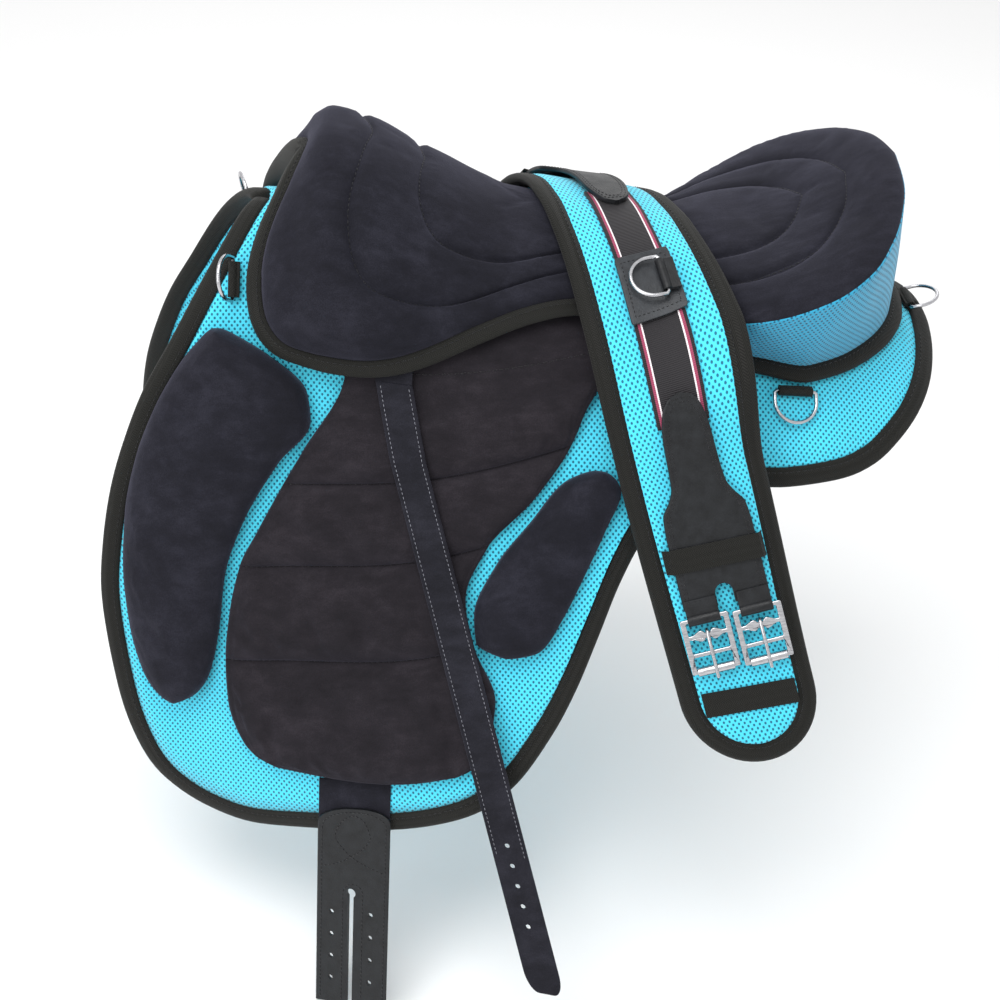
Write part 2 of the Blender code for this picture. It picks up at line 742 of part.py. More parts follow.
def cantle_riser():
    """The mesh-covered block between the panels and the rear half of the seat."""
    edge = seat_edge(SEAT_BINDING_WIDTH + GAP)
    first = next(k for k in range(len(edge)) if edge[k, 0] > RISER_START + 5 * MM)
    count = SEAT_STATIONS - first
    foot = path(np.array([(*p, 0) for p in GUSSET_FOOT]) * MM, count)
    foot = inwards(foot, SEAT_BINDING_WIDTH + GAP)
    foot[-1, 1] = 0
    stations = [k / count for k in range(count + 1)]
    rows = (0, 0.22, INNER_CHANNEL, OUTER_CHANNEL, 0.88, 1)

    def along(a, b):
        """Where the riser starts: on the ridge, or beside it where the seat lies on the panels."""
        share = (first + a * count) / SEAT_STATIONS
        spine_x = SPINE_START + (SPINE_END - SPINE_START) * share
        rim_x = edge[first + round(a * count), 0]
        start = max(0, (RISER_START - spine_x) / (rim_x - spine_x))
        return share, spine_x, start + (1 - start) * b

    def outer(a, b):
        share, _, b = along(a, b)
        x, v, h = seat_under(share, b, edge)
        return place(x, v, h - RISER_GAP)

    def inner(a, b):
        rim = foot[round(a * count)]
        _, spine_x, b = along(a, b)
        return place(spine_x + (rim[0] - spine_x) * b, rim[1] * b, FACET_GAP)

    return joined_at_ridge("cantle_riser", "mesh", stations, rows, outer, inner)


def seat_binding():
    """One webbing edge: round the front of the seat, then along the foot of the gusset."""
    edge = path(np.array(SEAT_EDGE) * MM, SEAT_STATIONS)
    front = [(x, v, h) for x, v, h in edge if x < FRONT_RIM_END]
    foot = [(x, v, 0) for x, v, _ in gusset_foot()[1:]]
    line = np.array(front + foot)
    line[0, 1] = 0
    line[-1, 1] = 0
    heights = []
    for x, v, h in line:
        share = riser_share(x)
        low = FACET_GAP + RIM_ON_PANEL
        low += (SEAT_EDGE_UNDER - low) * over_pad_share(x)
        low = low * (1 - share) + FACET_GAP * share
        high = max(h - RIM_ON_PANEL, low + SEAT_ON_PANEL) if share < 0.5 else low + BINDING_RISE
        heights.append((low, high))
    depths = ((1, 0), (0.3, 0), (0.02, 0.25), (0.02, 0.75), (0.3, 1), (1, 1))
    rings = []
    lines = [inwards(line, d * (SEAT_BINDING_WIDTH - GAP)) for d, _ in depths]
    for k, (low, high) in enumerate(heights):
        ring = []
        for moved, (_, up) in zip(lines, depths):
            v = 0 if k in (0, len(line) - 1) else moved[k, 1]
            ring.append((moved[k, 0], v, low + (high - low) * up))
        rings.append(ring)
    whole = [[place(x, v, h) for x, v, h in ring] for ring in rings]
    whole += [[place(x, -v, h) for x, v, h in ring] for ring in rings[-2:0:-1]]
    return sweep("seat_binding", "webbing", whole, True)


# Flap pad: left and right edges in millimetres (share of its length, x, v)
PAD_LEFT = [
    (0, -118, 116), (0.06, -123, 143), (0.22, -160, 206), (0.29, -174, 232), (0.38, -190, 271),
    (0.46, -201, 300), (0.58, -210, 344), (0.68, -213, 379), (0.80, -211, 415), (0.92, -199, 449),
    (0.97, -187, 461), (1, -172, 467),
]
PAD_RIGHT = [
    (0, 72, 92), (0.06, 72, 112), (0.22, 54, 156), (0.29, 46, 178), (0.38, 20, 220),
    (0.46, -12, 258), (0.58, -28, 300), (0.68, -20, 338), (0.80, -3, 378), (0.92, -8, 418),
    (0.97, -20, 435), (1, -36, 443),
]
PAD_CHANNELS = (0.06, 0.29, 0.46, 0.68)
PAD_SAG = 8 * MM
PAD_UNDER_SEAT = 0.1


def edge_point(table, share):
    table = np.array(table, float)
    return (
        between(share, table[:, 0], table[:, 1]) * MM,
        between(share, table[:, 0], table[:, 2]) * MM,
    )


def padded_block(name, left, right, across, along, height, under, side, sag=0.0):
    """A pad between two edges; height(a, b, from_side, from_end) is its face, under its back."""
    length = math.dist(edge_point(left, 0), edge_point(left, 1))

    def ground(a, b):
        x0, v0 = edge_point(left, b)
        x1, v1 = edge_point(right, b)
        width = math.dist((x0, v0), (x1, v1))
        x = x0 + (x1 - x0) * a
        v = v0 + (v1 - v0) * a + sag * 4 * a * (1 - a)
        return x, v, min(a, 1 - a) * width, min(b, 1 - b) * length

    def outer(a, b):
        x, v, from_side, from_end = ground(a, b)
        return place(x, side * v, height(a, b, from_side, from_end, length))

    def inner(a, b):
        x, v, _, _ = ground(a, b)
        return place(x, side * v, under)

    return slab(name, "suede", across, along, outer, inner)


def flap_pad(side):
    rows = (0, 0.06, 0.10, 0.17, 0.25, 0.29, 0.33, 0.40, 0.46, 0.52, 0.60, 0.68, 0.74, 0.84, 0.93, 0.98, 1)
    columns = (0, 0.03, 0.12, 0.3, 0.5, 0.7, 0.88, 0.97, 1)

    def height(a, b, from_side, from_end, length):
        crown = PAD_THICK - PAD_EDGE_THICK
        end = from_end if b > 0.5 else 1
        h = FACET_GAP + PAD_EDGE_THICK + crown * bump(min(from_side, end) / (22 * MM))
        for at in PAD_CHANNELS:
            h -= CHANNEL_DEPTH * math.exp(-(((b - at) * length / CHANNEL_WIDTH) ** 2))
        under_seat = 1 - smooth((b - PAD_UNDER_SEAT) / 0.06)
        return h + (FACET_GAP + PAD_EDGE_THICK - h) * under_seat

    return padded_block(
        f"{side_name(side)}_flap_pad", PAD_LEFT, PAD_RIGHT, columns, rows, height, FACET_GAP, side, PAD_SAG
    )


KNEE_LEFT = [
    (0, -222, 114), (0.08, -240, 134), (0.18, -255, 157), (0.26, -265, 176), (0.40, -280, 215),
    (0.55, -290, 262), (0.70, -293, 310), (0.82, -290, 352), (0.92, -281, 393), (0.97, -272, 410),
    (1, -262, 418),
]
KNEE_RIGHT = [
    (0, -212, 114), (0.08, -180, 133), (0.18, -150, 160), (0.26, -147, 182), (0.40, -171, 216),
    (0.55, -197, 262), (0.70, -213, 310), (0.82, -218, 355), (0.92, -226, 393), (0.97, -237, 411),
    (1, -248, 418),
]
THIGH_LEFT = [
    (0, 62, 195), (0.1, 42, 206), (0.3, 19, 237), (0.55, -6, 273), (0.78, -21, 312),
    (0.93, -19, 334), (1, -8, 341),
]
THIGH_RIGHT = [
    (0, 76, 196), (0.1, 84, 209), (0.3, 74, 238), (0.55, 60, 273), (0.78, 44, 310),
    (0.93, 29, 335), (1, 14, 342),
]


def shaped_block(name, left, right, thick, side):
    rows = (0, 0.05, 0.14, 0.26, 0.40, 0.55, 0.70, 0.83, 0.93, 0.98, 1)
    columns = (0, 0.06, 0.22, 0.5, 0.78, 0.94, 1)

    def height(a, b, from_side, from_end, length):
        crown = 0.55 * bump(from_side / (16 * MM)) + 0.45 * math.sin(math.pi * a)
        ends = bump(from_end / (26 * MM))
        return FACET_GAP + 4 * MM + (thick - 4 * MM) * crown * (0.35 + 0.65 * ends)

    return padded_block(name, left, right, columns, rows, height, SEWN_GAP, side)


def leather_line(v):
    """Where the middle of the stirrup leather runs: it trails to the rear as it hangs."""
    trail = LEATHER_TRAIL * max(v - LEATHER_TRAIL_FROM, 0)
    return HANGER_X + trail + LEATHER_TRAIL_EXTRA * max(v - LEATHER_TRAIL_MORE, 0)


def square_bore(bar):
    """The radius that a fold needs to turn round a square bar."""
    return bar / 2 * math.sqrt(2) + BORE_CLEAR


def hanger_origin():
    fold_radius = square_bore(HANGER_BAR) + LEATHER_THICK / 2
    return SEWN_GAP + HANGER_PLATE_THICK + GAP + fold_radius


def stirrup_bar(side):
    """A steel plate with a bar that stands off it; the leather passes round the bar."""
    matrix = face_frame(HANGER_X, side * HANGER_V, SEWN_GAP)
    half = LEATHER_WIDTH / 2 + LEATHER_CLEAR
    rise = hanger_origin() - SEWN_GAP
    arm = 4 * MM
    profile = [
        (-half - arm, 0), (half + arm, 0), (half + arm, rise + HANGER_BAR / 2),
        (-half - arm, rise + HANGER_BAR / 2),
    ]
    window = [
        (-half, HANGER_PLATE_THICK), (half, HANGER_PLATE_THICK),
        (half, rise - HANGER_BAR / 2), (-half, rise - HANGER_BAR / 2),
    ]
    upright = matrix @ Matrix.Rotation(math.radians(90), 4, "X")
    return plate(f"{side_name(side)}_stirrup_bar", "steel", [profile, window], HANGER_BAR, upright)


def fold_outline(bore, thick, tail):
    """A strap folded round a bar, from the side: two layers run along -X from a ring at the origin."""
    outer = bore + thick
    turn = 180 - math.degrees(math.asin(thick / outer))
    ring = arc(0, 0, outer, -turn, turn, 12)
    return [ring + [(-tail, thick), (-tail, -thick)], arc(0, 0, bore, 0, 324, 10)]


def fold(name, kind, bore, thick, tail, width, matrix):
    """The fold lies along local Y: its tail runs up the slope from the bar."""
    turned = matrix @ Matrix(((0, 0, 1, 0), (-1, 0, 0, 0), (0, -1, 0, 0), (0, 0, 0, 1)))
    return plate(name, kind, fold_outline(bore, thick, tail), width, turned)


def leather_loop(side):
    """The fixed top of the stirrup leather, sewn round the hanger's bar."""
    name = f"{side_name(side)}_leather_loop"
    matrix = face_frame(HANGER_X, side * HANGER_V, hanger_origin())
    flip = matrix @ Matrix.Rotation(math.pi, 4, "Z")
    bore = square_bore(HANGER_BAR)
    tail = bore + 9 * MM
    bend = made_mesh(fold(f"{name}_bend", None, bore, LEATHER_THICK / 2, tail, LEATHER_WIDTH - 1 * MM, flip))
    top = HANGER_V + bore + 4 * MM
    end = LEATHER_TOP - GAP
    start_h = hanger_origin() - LEATHER_THICK / 2
    half = LEATHER_WIDTH / 2

    def low(v):
        share = smooth((v - top - 4 * MM) / (12 * MM))
        return start_h + (leather_rest(LEATHER_TOP) - start_h) * share

    def outer(a, b):
        v = top + (end - top) * b
        return place(HANGER_X + a * half, side * v, low(v) + LEATHER_THICK)

    def inner(a, b):
        v = top + (end - top) * b
        return place(HANGER_X + a * half, side * v, low(v))

    obj = slab(name, "leather", (-1, 0, 1), (0, 0.25, 0.5, 0.75, 1), outer, inner)
    boolean(obj, bend, "UNION")
    return obj


def strap(name, kind, side, top, end, half_width, centre, low, thick, rows, origin_v):
    """A flat strap down the face; half_width(v) and low(v) shape it. Its origin is where it bends."""
    def ground(a, b):
        v = top + (end - top) * b
        return centre(v) + (a - 0.5) * 2 * half_width(v), v

    def outer(a, b):
        x, v = ground(a, b)
        return place(x, side * v, low(v) + thick)

    def inner(a, b):
        x, v = ground(a, b)
        return place(x, side * v, low(v))

    obj = slab(name, kind, (0, 0.5, 1), rows, outer, inner)
    move_origin(obj, place(centre(origin_v), side * origin_v, low(origin_v) + thick / 2))
    return obj


def drill(name, frames, diameter):
    """One cutter of several pins, at frames whose local Z runs through the strap."""
    bm = bmesh.new()
    for matrix in frames:
        bmesh.ops.create_cone(
            bm, cap_ends=True, segments=8, radius1=diameter / 2, radius2=diameter / 2,
            depth=CUTTER_DEPTH, matrix=matrix,
        )
    return add_mesh(name, bm, None, CUTTERS)


def leather_rest(v):
    """Height of the strap's back: over the flap pad, then over the panel's edge, then free."""
    at_seat = FACET_GAP + PAD_EDGE_THICK + LEATHER_CLEAR
    over_pad = FACET_GAP + PAD_THICK + LEATHER_CLEAR
    return at_seat + (over_pad - at_seat) * smooth((v - LEATHER_TOP) / (22 * MM))


def stirrup_leather(side):
    rows = [k / 16 for k in range(16)] + [0.975, 1]

    def half_width(v):
        return LEATHER_WIDTH / 2 * (0.45 + 0.55 * bump((LEATHER_END - v) / LEATHER_TIP))

    name = f"{side_name(side)}_stirrup_leather"
    obj = strap(
        name, "leather", side, LEATHER_TOP, LEATHER_END, half_width, leather_line,
        leather_rest, LEATHER_THICK, rows, LEATHER_TOP,
    )
    frames = []
    for k in range(HOLE_COUNT):
        v = LEATHER_END - HOLE_START - k * HOLE_PITCH
        frames.append(face_frame(leather_line(v), side * v, leather_rest(v)))
    boolean(obj, drill(f"{name}_holes", frames, HOLE_DIAMETER), "DIFFERENCE")
    return obj


BINDING_TOP = (PANEL_BINDING_THICK - PANEL_THICK) / 2


def billet_web(side):
    """Webbing sewn to the panel below the pad and carried down over its edge."""
    low = BINDING_TOP + SEWN_GAP
    return strap(
        f"{side_name(side)}_billet_web", "webbing", side, WEB_TOP, WEB_END,
        lambda v: BILLET_WIDTH / 2 - 1 * MM, lambda v: BILLET_X, lambda v: low, WEB_THICK,
        [k / 4 for k in range(5)], WEB_TOP,
    )


def billet(side):
    """The leather below the webbing, slotted into two straps with punched holes."""
    name = f"{side_name(side)}_billet"
    low = BINDING_TOP + SEWN_GAP + WEB_THICK + GAP

    def half_width(v):
        top = 0.30 + 0.70 * bump((v - BILLET_TOP) / (13 * MM))
        return BILLET_WIDTH / 2 * top

    rows = [0, 0.015, 0.04, 0.075, 0.25, 0.43, 0.6, 0.8, 1]
    obj = strap(
        name, "leather", side, BILLET_TOP, BILLET_TIP, half_width, lambda v: BILLET_X,
        lambda v: low, BILLET_THICK, rows, BILLET_TOP,
    )
    slot_end = BILLET_TIP + BILLET_SLOT
    middle = (BILLET_SLOT_TOP + slot_end) / 2
    bm = bmesh.new()
    size = Matrix.Diagonal((BILLET_SLOT, slot_end - BILLET_SLOT_TOP, CUTTER_DEPTH, 1))
    bmesh.ops.create_cube(bm, size=1, matrix=face_frame(BILLET_X, side * middle, low) @ size)
    slot = add_mesh(f"{name}_slot", bm, None, CUTTERS)
    boolean(obj, slot, "DIFFERENCE")
    frames = [face_frame(BILLET_X, side * BILLET_SLOT_TOP, low)]
    top_hole = drill(f"{name}_slot_top", frames, BILLET_SLOT_ROUND)
    boolean(obj, top_hole, "DIFFERENCE")
    frames = []
    for strap_side in (-1, 1):
        for k in range(BILLET_HOLES):
            x = BILLET_X + strap_side * (BILLET_WIDTH / 4 + BILLET_SLOT / 4)
            v = BILLET_TIP - BILLET_HOLE_START - k * BILLET_HOLE_PITCH
            frames.append(face_frame(x, side * v, low))
    boolean(obj, drill(f"{name}_holes", frames, HOLE_DIAMETER), "DIFFERENCE")
    return obj


def dee_points(width, depth):
    """A D: a straight bar along local X through the origin and a bow down local -Y."""
    half = width / 2
    radius = 5 * MM
    straight = depth - half if depth > half else 0
    bow = [(half * math.cos(t), -straight - (depth - straight) * math.sin(t)) for t in
           np.linspace(0, math.pi, 11)]
    corners = [(-half + radius * 0.3, 0), (half - radius * 0.3, 0)]
    return [(x, y, 0) for x, y in corners + [(half, -radius * 0.3)] + bow[1:-1] + [(-half, -radius * 0.3)]]


def dee_and_tab(name, matrix, open_angle, tail):
    """A dee in its webbing tab. The tab's tail runs up local Y; the dee turns about its bar."""
    ring_matrix = matrix @ Matrix.Rotation(math.radians(open_angle), 4, "X")
    tube(f"{name}_ring", dee_points(DEE_WIDTH, DEE_DEPTH), DEE_WIRE, True, ring_matrix, resolution=1)
    fold(
        f"{name}_tab", "webbing", DEE_WIRE / 2 + BORE_CLEAR, TAB_THICK, tail, TAB_WIDTH, matrix
    )


TAB_REACH = DEE_WIRE / 2 + BORE_CLEAR + TAB_THICK


def dees():
    height = SEWN_GAP + TAB_REACH
    for side in (NEAR, OFF):
        front = face_frame(FRONT_DEE_X, side * FRONT_DEE_V, height, turn=-90 * side)
        dee_and_tab(f"{side_name(side)}_front_dee", front, -75, 5 * MM)
        rear = face_frame(REAR_DEE_X, side * REAR_DEE_V, height)
        dee_and_tab(f"{side_name(side)}_rear_dee", rear, 0, 4 * MM)
    centre = face_frame(CENTRE_DEE_X, 0.0, BINDING_TOP + SEWN_GAP + TAB_REACH, turn=90)
    dee_and_tab("rear_centre_dee", centre, -20, 5 * MM)


SEAT_LINE = seat_edge()


def girth_fall(t):
    """0 over the seat's edge and 1 where the girth lies on the panel: a bend, then nearly straight."""
    t = min(max(t, 0), 1)
    return 1 - (1 - t * t * (1 + GIRTH_BEND) / (t + GIRTH_BEND)) ** 1.5


def girth_rest(x, v):
    """How far the girth's back is held off the panels: it lies on the seat, then falls past its edge."""
    beside = SEAT_LINE[3:]
    edge_v = np.interp(x, beside[:, 0], beside[:, 1])
    level_x = min(x, GIRTH_LEVEL_X)
    top = seat_height(level_x, min(abs(v), edge_v), SEAT_LINE) + GIRTH_CLEAR
    climb = seat_height(x, min(abs(v), edge_v), SEAT_LINE) + GIRTH_CLEAR - top
    past_edge = abs(v) - edge_v + RIM_ON_PANEL
    length, block = (GIRTH_FALL_NEAR, 0) if v > 0 else (GIRTH_FALL_OFF, THIGH_BLOCK_THICK)
    rest = FACET_GAP + GIRTH_REST + block
    climb *= 1 - smooth(past_edge / GIRTH_CLIMB_FALL)
    return top + (rest - top) * girth_fall(past_edge / length) + climb


def girth_place(s, w, h=0.0):
    """A point on the girth: s along it from the patch, w across it to the rear, h above its back."""
    turn = math.radians(GIRTH_TURN)
    x = GIRTH_X + s * math.sin(turn) + w * math.cos(turn)
    v = GIRTH_V + s * math.cos(turn) - w * math.sin(turn)
    return place(x, v, girth_rest(x, v) + h)


def girth_frame(s, w, h):
    """Local +X across the girth to the rear, +Y back along it to the patch, +Z out of it."""
    step = 2 * MM
    along = (girth_place(s - step, w, h) - girth_place(s + step, w, h)).normalized()
    across = (girth_place(s, w + step, h) - girth_place(s, w - step, h)).normalized()
    out = across.cross(along).normalized()
    if (girth_place(s, w, h + step) - girth_place(s, w, h)).dot(out) < 0:
        out = -out
    across = along.cross(out)
    matrix = Matrix((across, along, out)).transposed().to_4x4()
    matrix.translation = girth_place(s, w, h)
    return matrix


def girth_slab(name, kind, across, along, half_width, low, thick):
    """A layer of the girth between two heights; across runs -1 to 1 and along is in metres."""
    def outer(a, s):
        return girth_place(s, a * half_width(s), low(s, a) + thick)

    def inner(a, s):
        return girth_place(s, a * half_width(s), low(s, a))

    return slab(name, kind, across, along, outer, inner)


def girth_taper(s):
    end = GIRTH_HALF_LENGTH - abs(s)
    return 1 - 0.07 * float(smooth((GIRTH_TAPER_FROM_END - end) / GIRTH_TAPER_LENGTH))


def girth_half_width(s):
    """The girth's outer edge: parallel sides and a full round end."""
    end = GIRTH_HALF_LENGTH - abs(s)
    return GIRTH_WIDTH / 2 * girth_taper(s) * bump(end / GIRTH_ROUND)


GIRTH_ROWS = 20


def girth_outline(inset):
    """Points (s, w) round the girth, moved inwards."""
    reach = GIRTH_HALF_LENGTH - inset
    side = []
    for s in np.linspace(-1, 1, GIRTH_ROWS + 1) * (GIRTH_HALF_LENGTH - GIRTH_ROUND):
        side.append((s, girth_half_width(s) - inset))
    half = girth_half_width(GIRTH_HALF_LENGTH - GIRTH_ROUND) - inset
    depth = GIRTH_ROUND - inset
    start = GIRTH_HALF_LENGTH - GIRTH_ROUND
    end = [(start + depth * math.sin(t), half * math.cos(t)) for t in np.linspace(0, math.pi, 11)[1:-1]]
    other = [(-s, -w) for s, w in side]
    return side + end + other + [(-s, -w) for s, w in end]


def girth_pad():
    ring = girth_outline(GIRTH_BINDING_WIDTH + GAP)
    side = ring[:GIRTH_ROWS + 1]
    end = ring[GIRTH_ROWS + 1:GIRTH_ROWS + 1 + 4]
    rows = [(-s, w) for s, w in end[::-1]] + side + end
    along = list(range(len(rows)))
    columns = (-1, -0.9, -0.45, 0, 0.45, 0.9, 1)

    def outer(a, k):
        s, w = rows[k]
        return girth_place(s, a * w, GIRTH_THICK - 1.5 * MM * (abs(a) > 0.95))

    def inner(a, k):
        s, w = rows[k]
        return girth_place(s, a * w, 0)

    return slab("girth_pad", "mesh", columns, along, outer, inner)


def girth_binding():
    depths = ((1, 0.06), (0.3, 0.06), (0.02, 0.28), (0.02, 0.62), (0.3, 0.84), (1, 0.84))
    outlines = [girth_outline(d * (GIRTH_BINDING_WIDTH - GAP)) for d, _ in depths]
    rings = []
    for k in range(len(outlines[0])):
        ring = [
            girth_place(*outline[k], up * GIRTH_THICK)
            for outline, (_, up) in zip(outlines, depths)
        ]
        rings.append(ring)
    return sweep("girth_binding", "webbing", rings, True)


ELASTIC_LOW = GIRTH_THICK + LAYER_GAP
LEATHER_LOW = ELASTIC_LOW + ELASTIC_THICK + LEATHER_GAP
BUCKLE_PIVOT = GIRTH_HALF_LENGTH - BUCKLE_FROM_END
NOTCH_WIDTH = 13 * MM
NOTCH_REACH = 24 * MM
NOTCH_TOP = BUCKLE_PIVOT - 16 * MM
# The leather's outline: how far before the buckles' top bars, and its half width, in millimetres
LEATHER_SHAPE = [
    (-158, 2), (-155, 9), (-148, 14), (-134, 17.5), (-96, 20), (-87, 24), (-77, 30.5), (-59, 32),
    (-7, 32),
]
LEATHER_ROWS = [-158, -155, -148, -141, -134, -114, -96, -87, -77, -59, -33, -7]


def girth_elastic():
    step = 2 * (GIRTH_HALF_LENGTH - GIRTH_ROUND) / GIRTH_ROWS
    along = [k * step for k in range(-3, 4)]
    return girth_slab(
        "girth_elastic", "elastic", (-1, 0, 1), along, lambda s: ELASTIC_WIDTH / 2,
        lambda s, a: ELASTIC_LOW, ELASTIC_THICK,
    )


def buckle_height():
    return LEATHER_LOW + GIRTH_LEATHER_THICK / 2 + LOOP_THICK


def girth_leather(end):
    """A long leather piece whose two ends fold round the buckles' top bars."""
    name = "girth_near_leather" if end > 0 else "girth_far_leather"
    table = np.array(LEATHER_SHAPE) * MM
    along = [BUCKLE_PIVOT + row * MM for row in LEATHER_ROWS]

    def half_width(s):
        return between(abs(s) - BUCKLE_PIVOT, table[:, 0], table[:, 1])

    obj = girth_slab(
        name, "leather", (-1, -0.5, 0, 0.5, 1), [end * s for s in along], half_width,
        lambda s, a: LEATHER_LOW, GIRTH_LEATHER_THICK,
    )
    for turn in (-1, 1):
        matrix = buckle_matrix(end, turn)
        bore = square_bore(BUCKLE_BAR)
        tab = made_mesh(fold(f"{name}_fold_{turn}", None, bore, LOOP_THICK, LOOP_TAIL, LOOP_WIDTH, matrix))
        boolean(obj, tab, "UNION")
    notch = girth_frame(end * NOTCH_TOP, 0, LEATHER_LOW)
    down = Matrix.Translation((0, -end * NOTCH_REACH / 2, 0))
    bm = bmesh.new()
    size = Matrix.Diagonal((NOTCH_WIDTH, NOTCH_REACH, CUTTER_DEPTH, 1))
    bmesh.ops.create_cube(bm, size=1, matrix=notch @ down @ size)
    boolean(obj, add_mesh(f"{name}_notch", bm, None, CUTTERS), "DIFFERENCE")
    boolean(obj, drill(f"{name}_notch_top", [notch], NOTCH_WIDTH), "DIFFERENCE")
    return obj


def buckle_matrix(end, turn):
    """Axes at a buckle's top bar, with local +Y back towards the middle of the girth."""
    w = turn * BUCKLE_SPACING / 2
    top = girth_place(end * BUCKLE_PIVOT, w, buckle_height())
    foot = girth_place(end * (BUCKLE_PIVOT + BUCKLE_LENGTH), w, buckle_height())
    middle = girth_frame(end * (BUCKLE_PIVOT + BUCKLE_LENGTH / 2), w, 0)
    up = (top - foot).normalized()
    out = middle.col[2].to_3d()
    across = up.cross(out).normalized()
    matrix = Matrix((across, up, across.cross(up))).transposed().to_4x4()
    matrix.translation = top
    return matrix


def buckle(end, turn):
    """A flat roller buckle: four bars in one frame, its tongue on the second and a roller last."""
    which = "near" if end > 0 else "far"
    place_word = "rear" if turn * end > 0 else "front"
    name = f"girth_{which}_{place_word}_buckle"
    matrix = buckle_matrix(end, turn)
    half = BUCKLE_WIDTH / 2
    rail = BUCKLE_RAIL
    bar = BUCKLE_BAR / 2
    pivot_y, middle_y, last_y = BUCKLE_BARS
    outline = rounded_box(-half, last_y - bar, half, bar, 1.4 * MM)
    windows = []
    for upper, lower in ((0, pivot_y), (pivot_y, middle_y), (middle_y, last_y)):
        windows.append(rounded_box(-half + rail, lower + bar, half - rail, upper - bar, 0.8 * MM, 2))
    frame = plate(name, "steel", [outline, *windows], BUCKLE_BAR, matrix)
    roller_matrix = matrix @ Matrix.Translation((0, last_y, 0)) @ Matrix.Rotation(math.pi / 2, 4, "Y")
    bore = square_bore(BUCKLE_BAR)
    rings = [arc(0, 0, ROLLER_DIAMETER / 2, 0, 330, 12), arc(0, 0, bore, 0, 324, 11)]
    length = BUCKLE_WIDTH - 2 * rail - 2 * GAP
    plate(f"{name}_roller", "steel", rings, length, roller_matrix)
    wire = TONGUE_DIAMETER
    hook = square_bore(BUCKLE_BAR) + wire / 2
    loop = [(0, y, z) for y, z in arc(0, 0, hook, -150, 90, 9)]
    rest = ROLLER_DIAMETER / 2 + wire / 2 + GAP
    run = last_y - pivot_y
    straight = [(0, run * 0.35, max(hook, rest)), (0, run, rest), (0, run - 6 * MM, rest - 0.4 * MM)]
    tongue = matrix @ Matrix.Translation((0, pivot_y, 0))
    tube(f"{name}_tongue", loop + straight, wire, False, tongue)
    return frame


def girth_keeper(name, s, low):
    """A webbing band across the girth, sewn down at both sides."""
    half = GIRTH_WIDTH / 2 * girth_taper(s) - GIRTH_BINDING_WIDTH - 2 * MM
    columns = (-1, -0.93, -0.86, -0.4, 0, 0.4, 0.86, 0.93, 1)

    def height(a):
        return ELASTIC_LOW + (low - ELASTIC_LOW) * float(smooth((1 - abs(a)) / 0.12))

    along = [s - KEEPER_WIDTH / 2, s + KEEPER_WIDTH / 2]
    return girth_slab(name, "webbing", columns, along, lambda _: half, lambda _, a: height(a), KEEPER_THICK)


def girth():
    girth_pad()
    girth_binding()
    girth_elastic()
    for end in (1, -1):
        which = "near" if end > 0 else "far"
        girth_leather(end)
        for turn in (-1, 1):
            buckle(end, turn)
        upper = end * (GIRTH_HALF_LENGTH - UPPER_KEEPER_FROM_END)
        lower = end * (GIRTH_HALF_LENGTH - LOWER_KEEPER_FROM_END)
        girth_keeper(f"girth_{which}_upper_keeper", upper, LEATHER_LOW + GIRTH_LEATHER_THICK + LAYER_GAP)
        girth_keeper(f"girth_{which}_lower_keeper", lower, ELASTIC_LOW)
    half = PATCH_SIDE / 2
    girth_slab(
        "girth_patch", "leather", (-1, 0, 1), [-half, 0, half], lambda s: half,
        lambda s, a: LEATHER_LOW, PATCH_THICK,
    )
    matrix = girth_frame(0, PATCH_DEE_FROM_MIDDLE, LEATHER_LOW + PATCH_THICK + FACET_GAP + TAB_REACH)
    turned = matrix @ Matrix.Rotation(math.radians(-90), 4, "Z")
    dee_and_tab("girth_dee", turned, 0, 10 * MM)


def main():
    for side in (NEAR, OFF):
        word = side_name(side)
        base_panel(side)
        panel_binding(side)
        under_panel(side)
        flap_pad(side)
        shaped_block(f"{word}_knee_block", KNEE_LEFT, KNEE_RIGHT, KNEE_BLOCK_THICK, side)
        shaped_block(f"{word}_thigh_block", THIGH_LEFT, THIGH_RIGHT, THIGH_BLOCK_THICK, side)
        stirrup_bar(side)
        leather_loop(side)
        stirrup_leather(side)
        billet_web(side)
        billet(side)
    spine_webbing()
    seat_cushion()
    cantle_riser()
    seat_binding()
    dees()
    girth()


main()
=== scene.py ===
# %% [markdown]
# # A treeless riding saddle, dressed
#
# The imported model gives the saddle's frame: every hinge, ring and layer at its real place.
# These cells put the soft layers over it. Almost all of them lie on one curved surface, the
# outer face of the foam panels, so the first cells rebuild that surface as a map, and the later
# ones draw each layer on the map and lift it to its height.

# %% Load the frame
import json
import math

import bmesh
import bpy
import numpy as np
from mathutils import Matrix, Vector
from mathutils.bvhtree import BVHTree


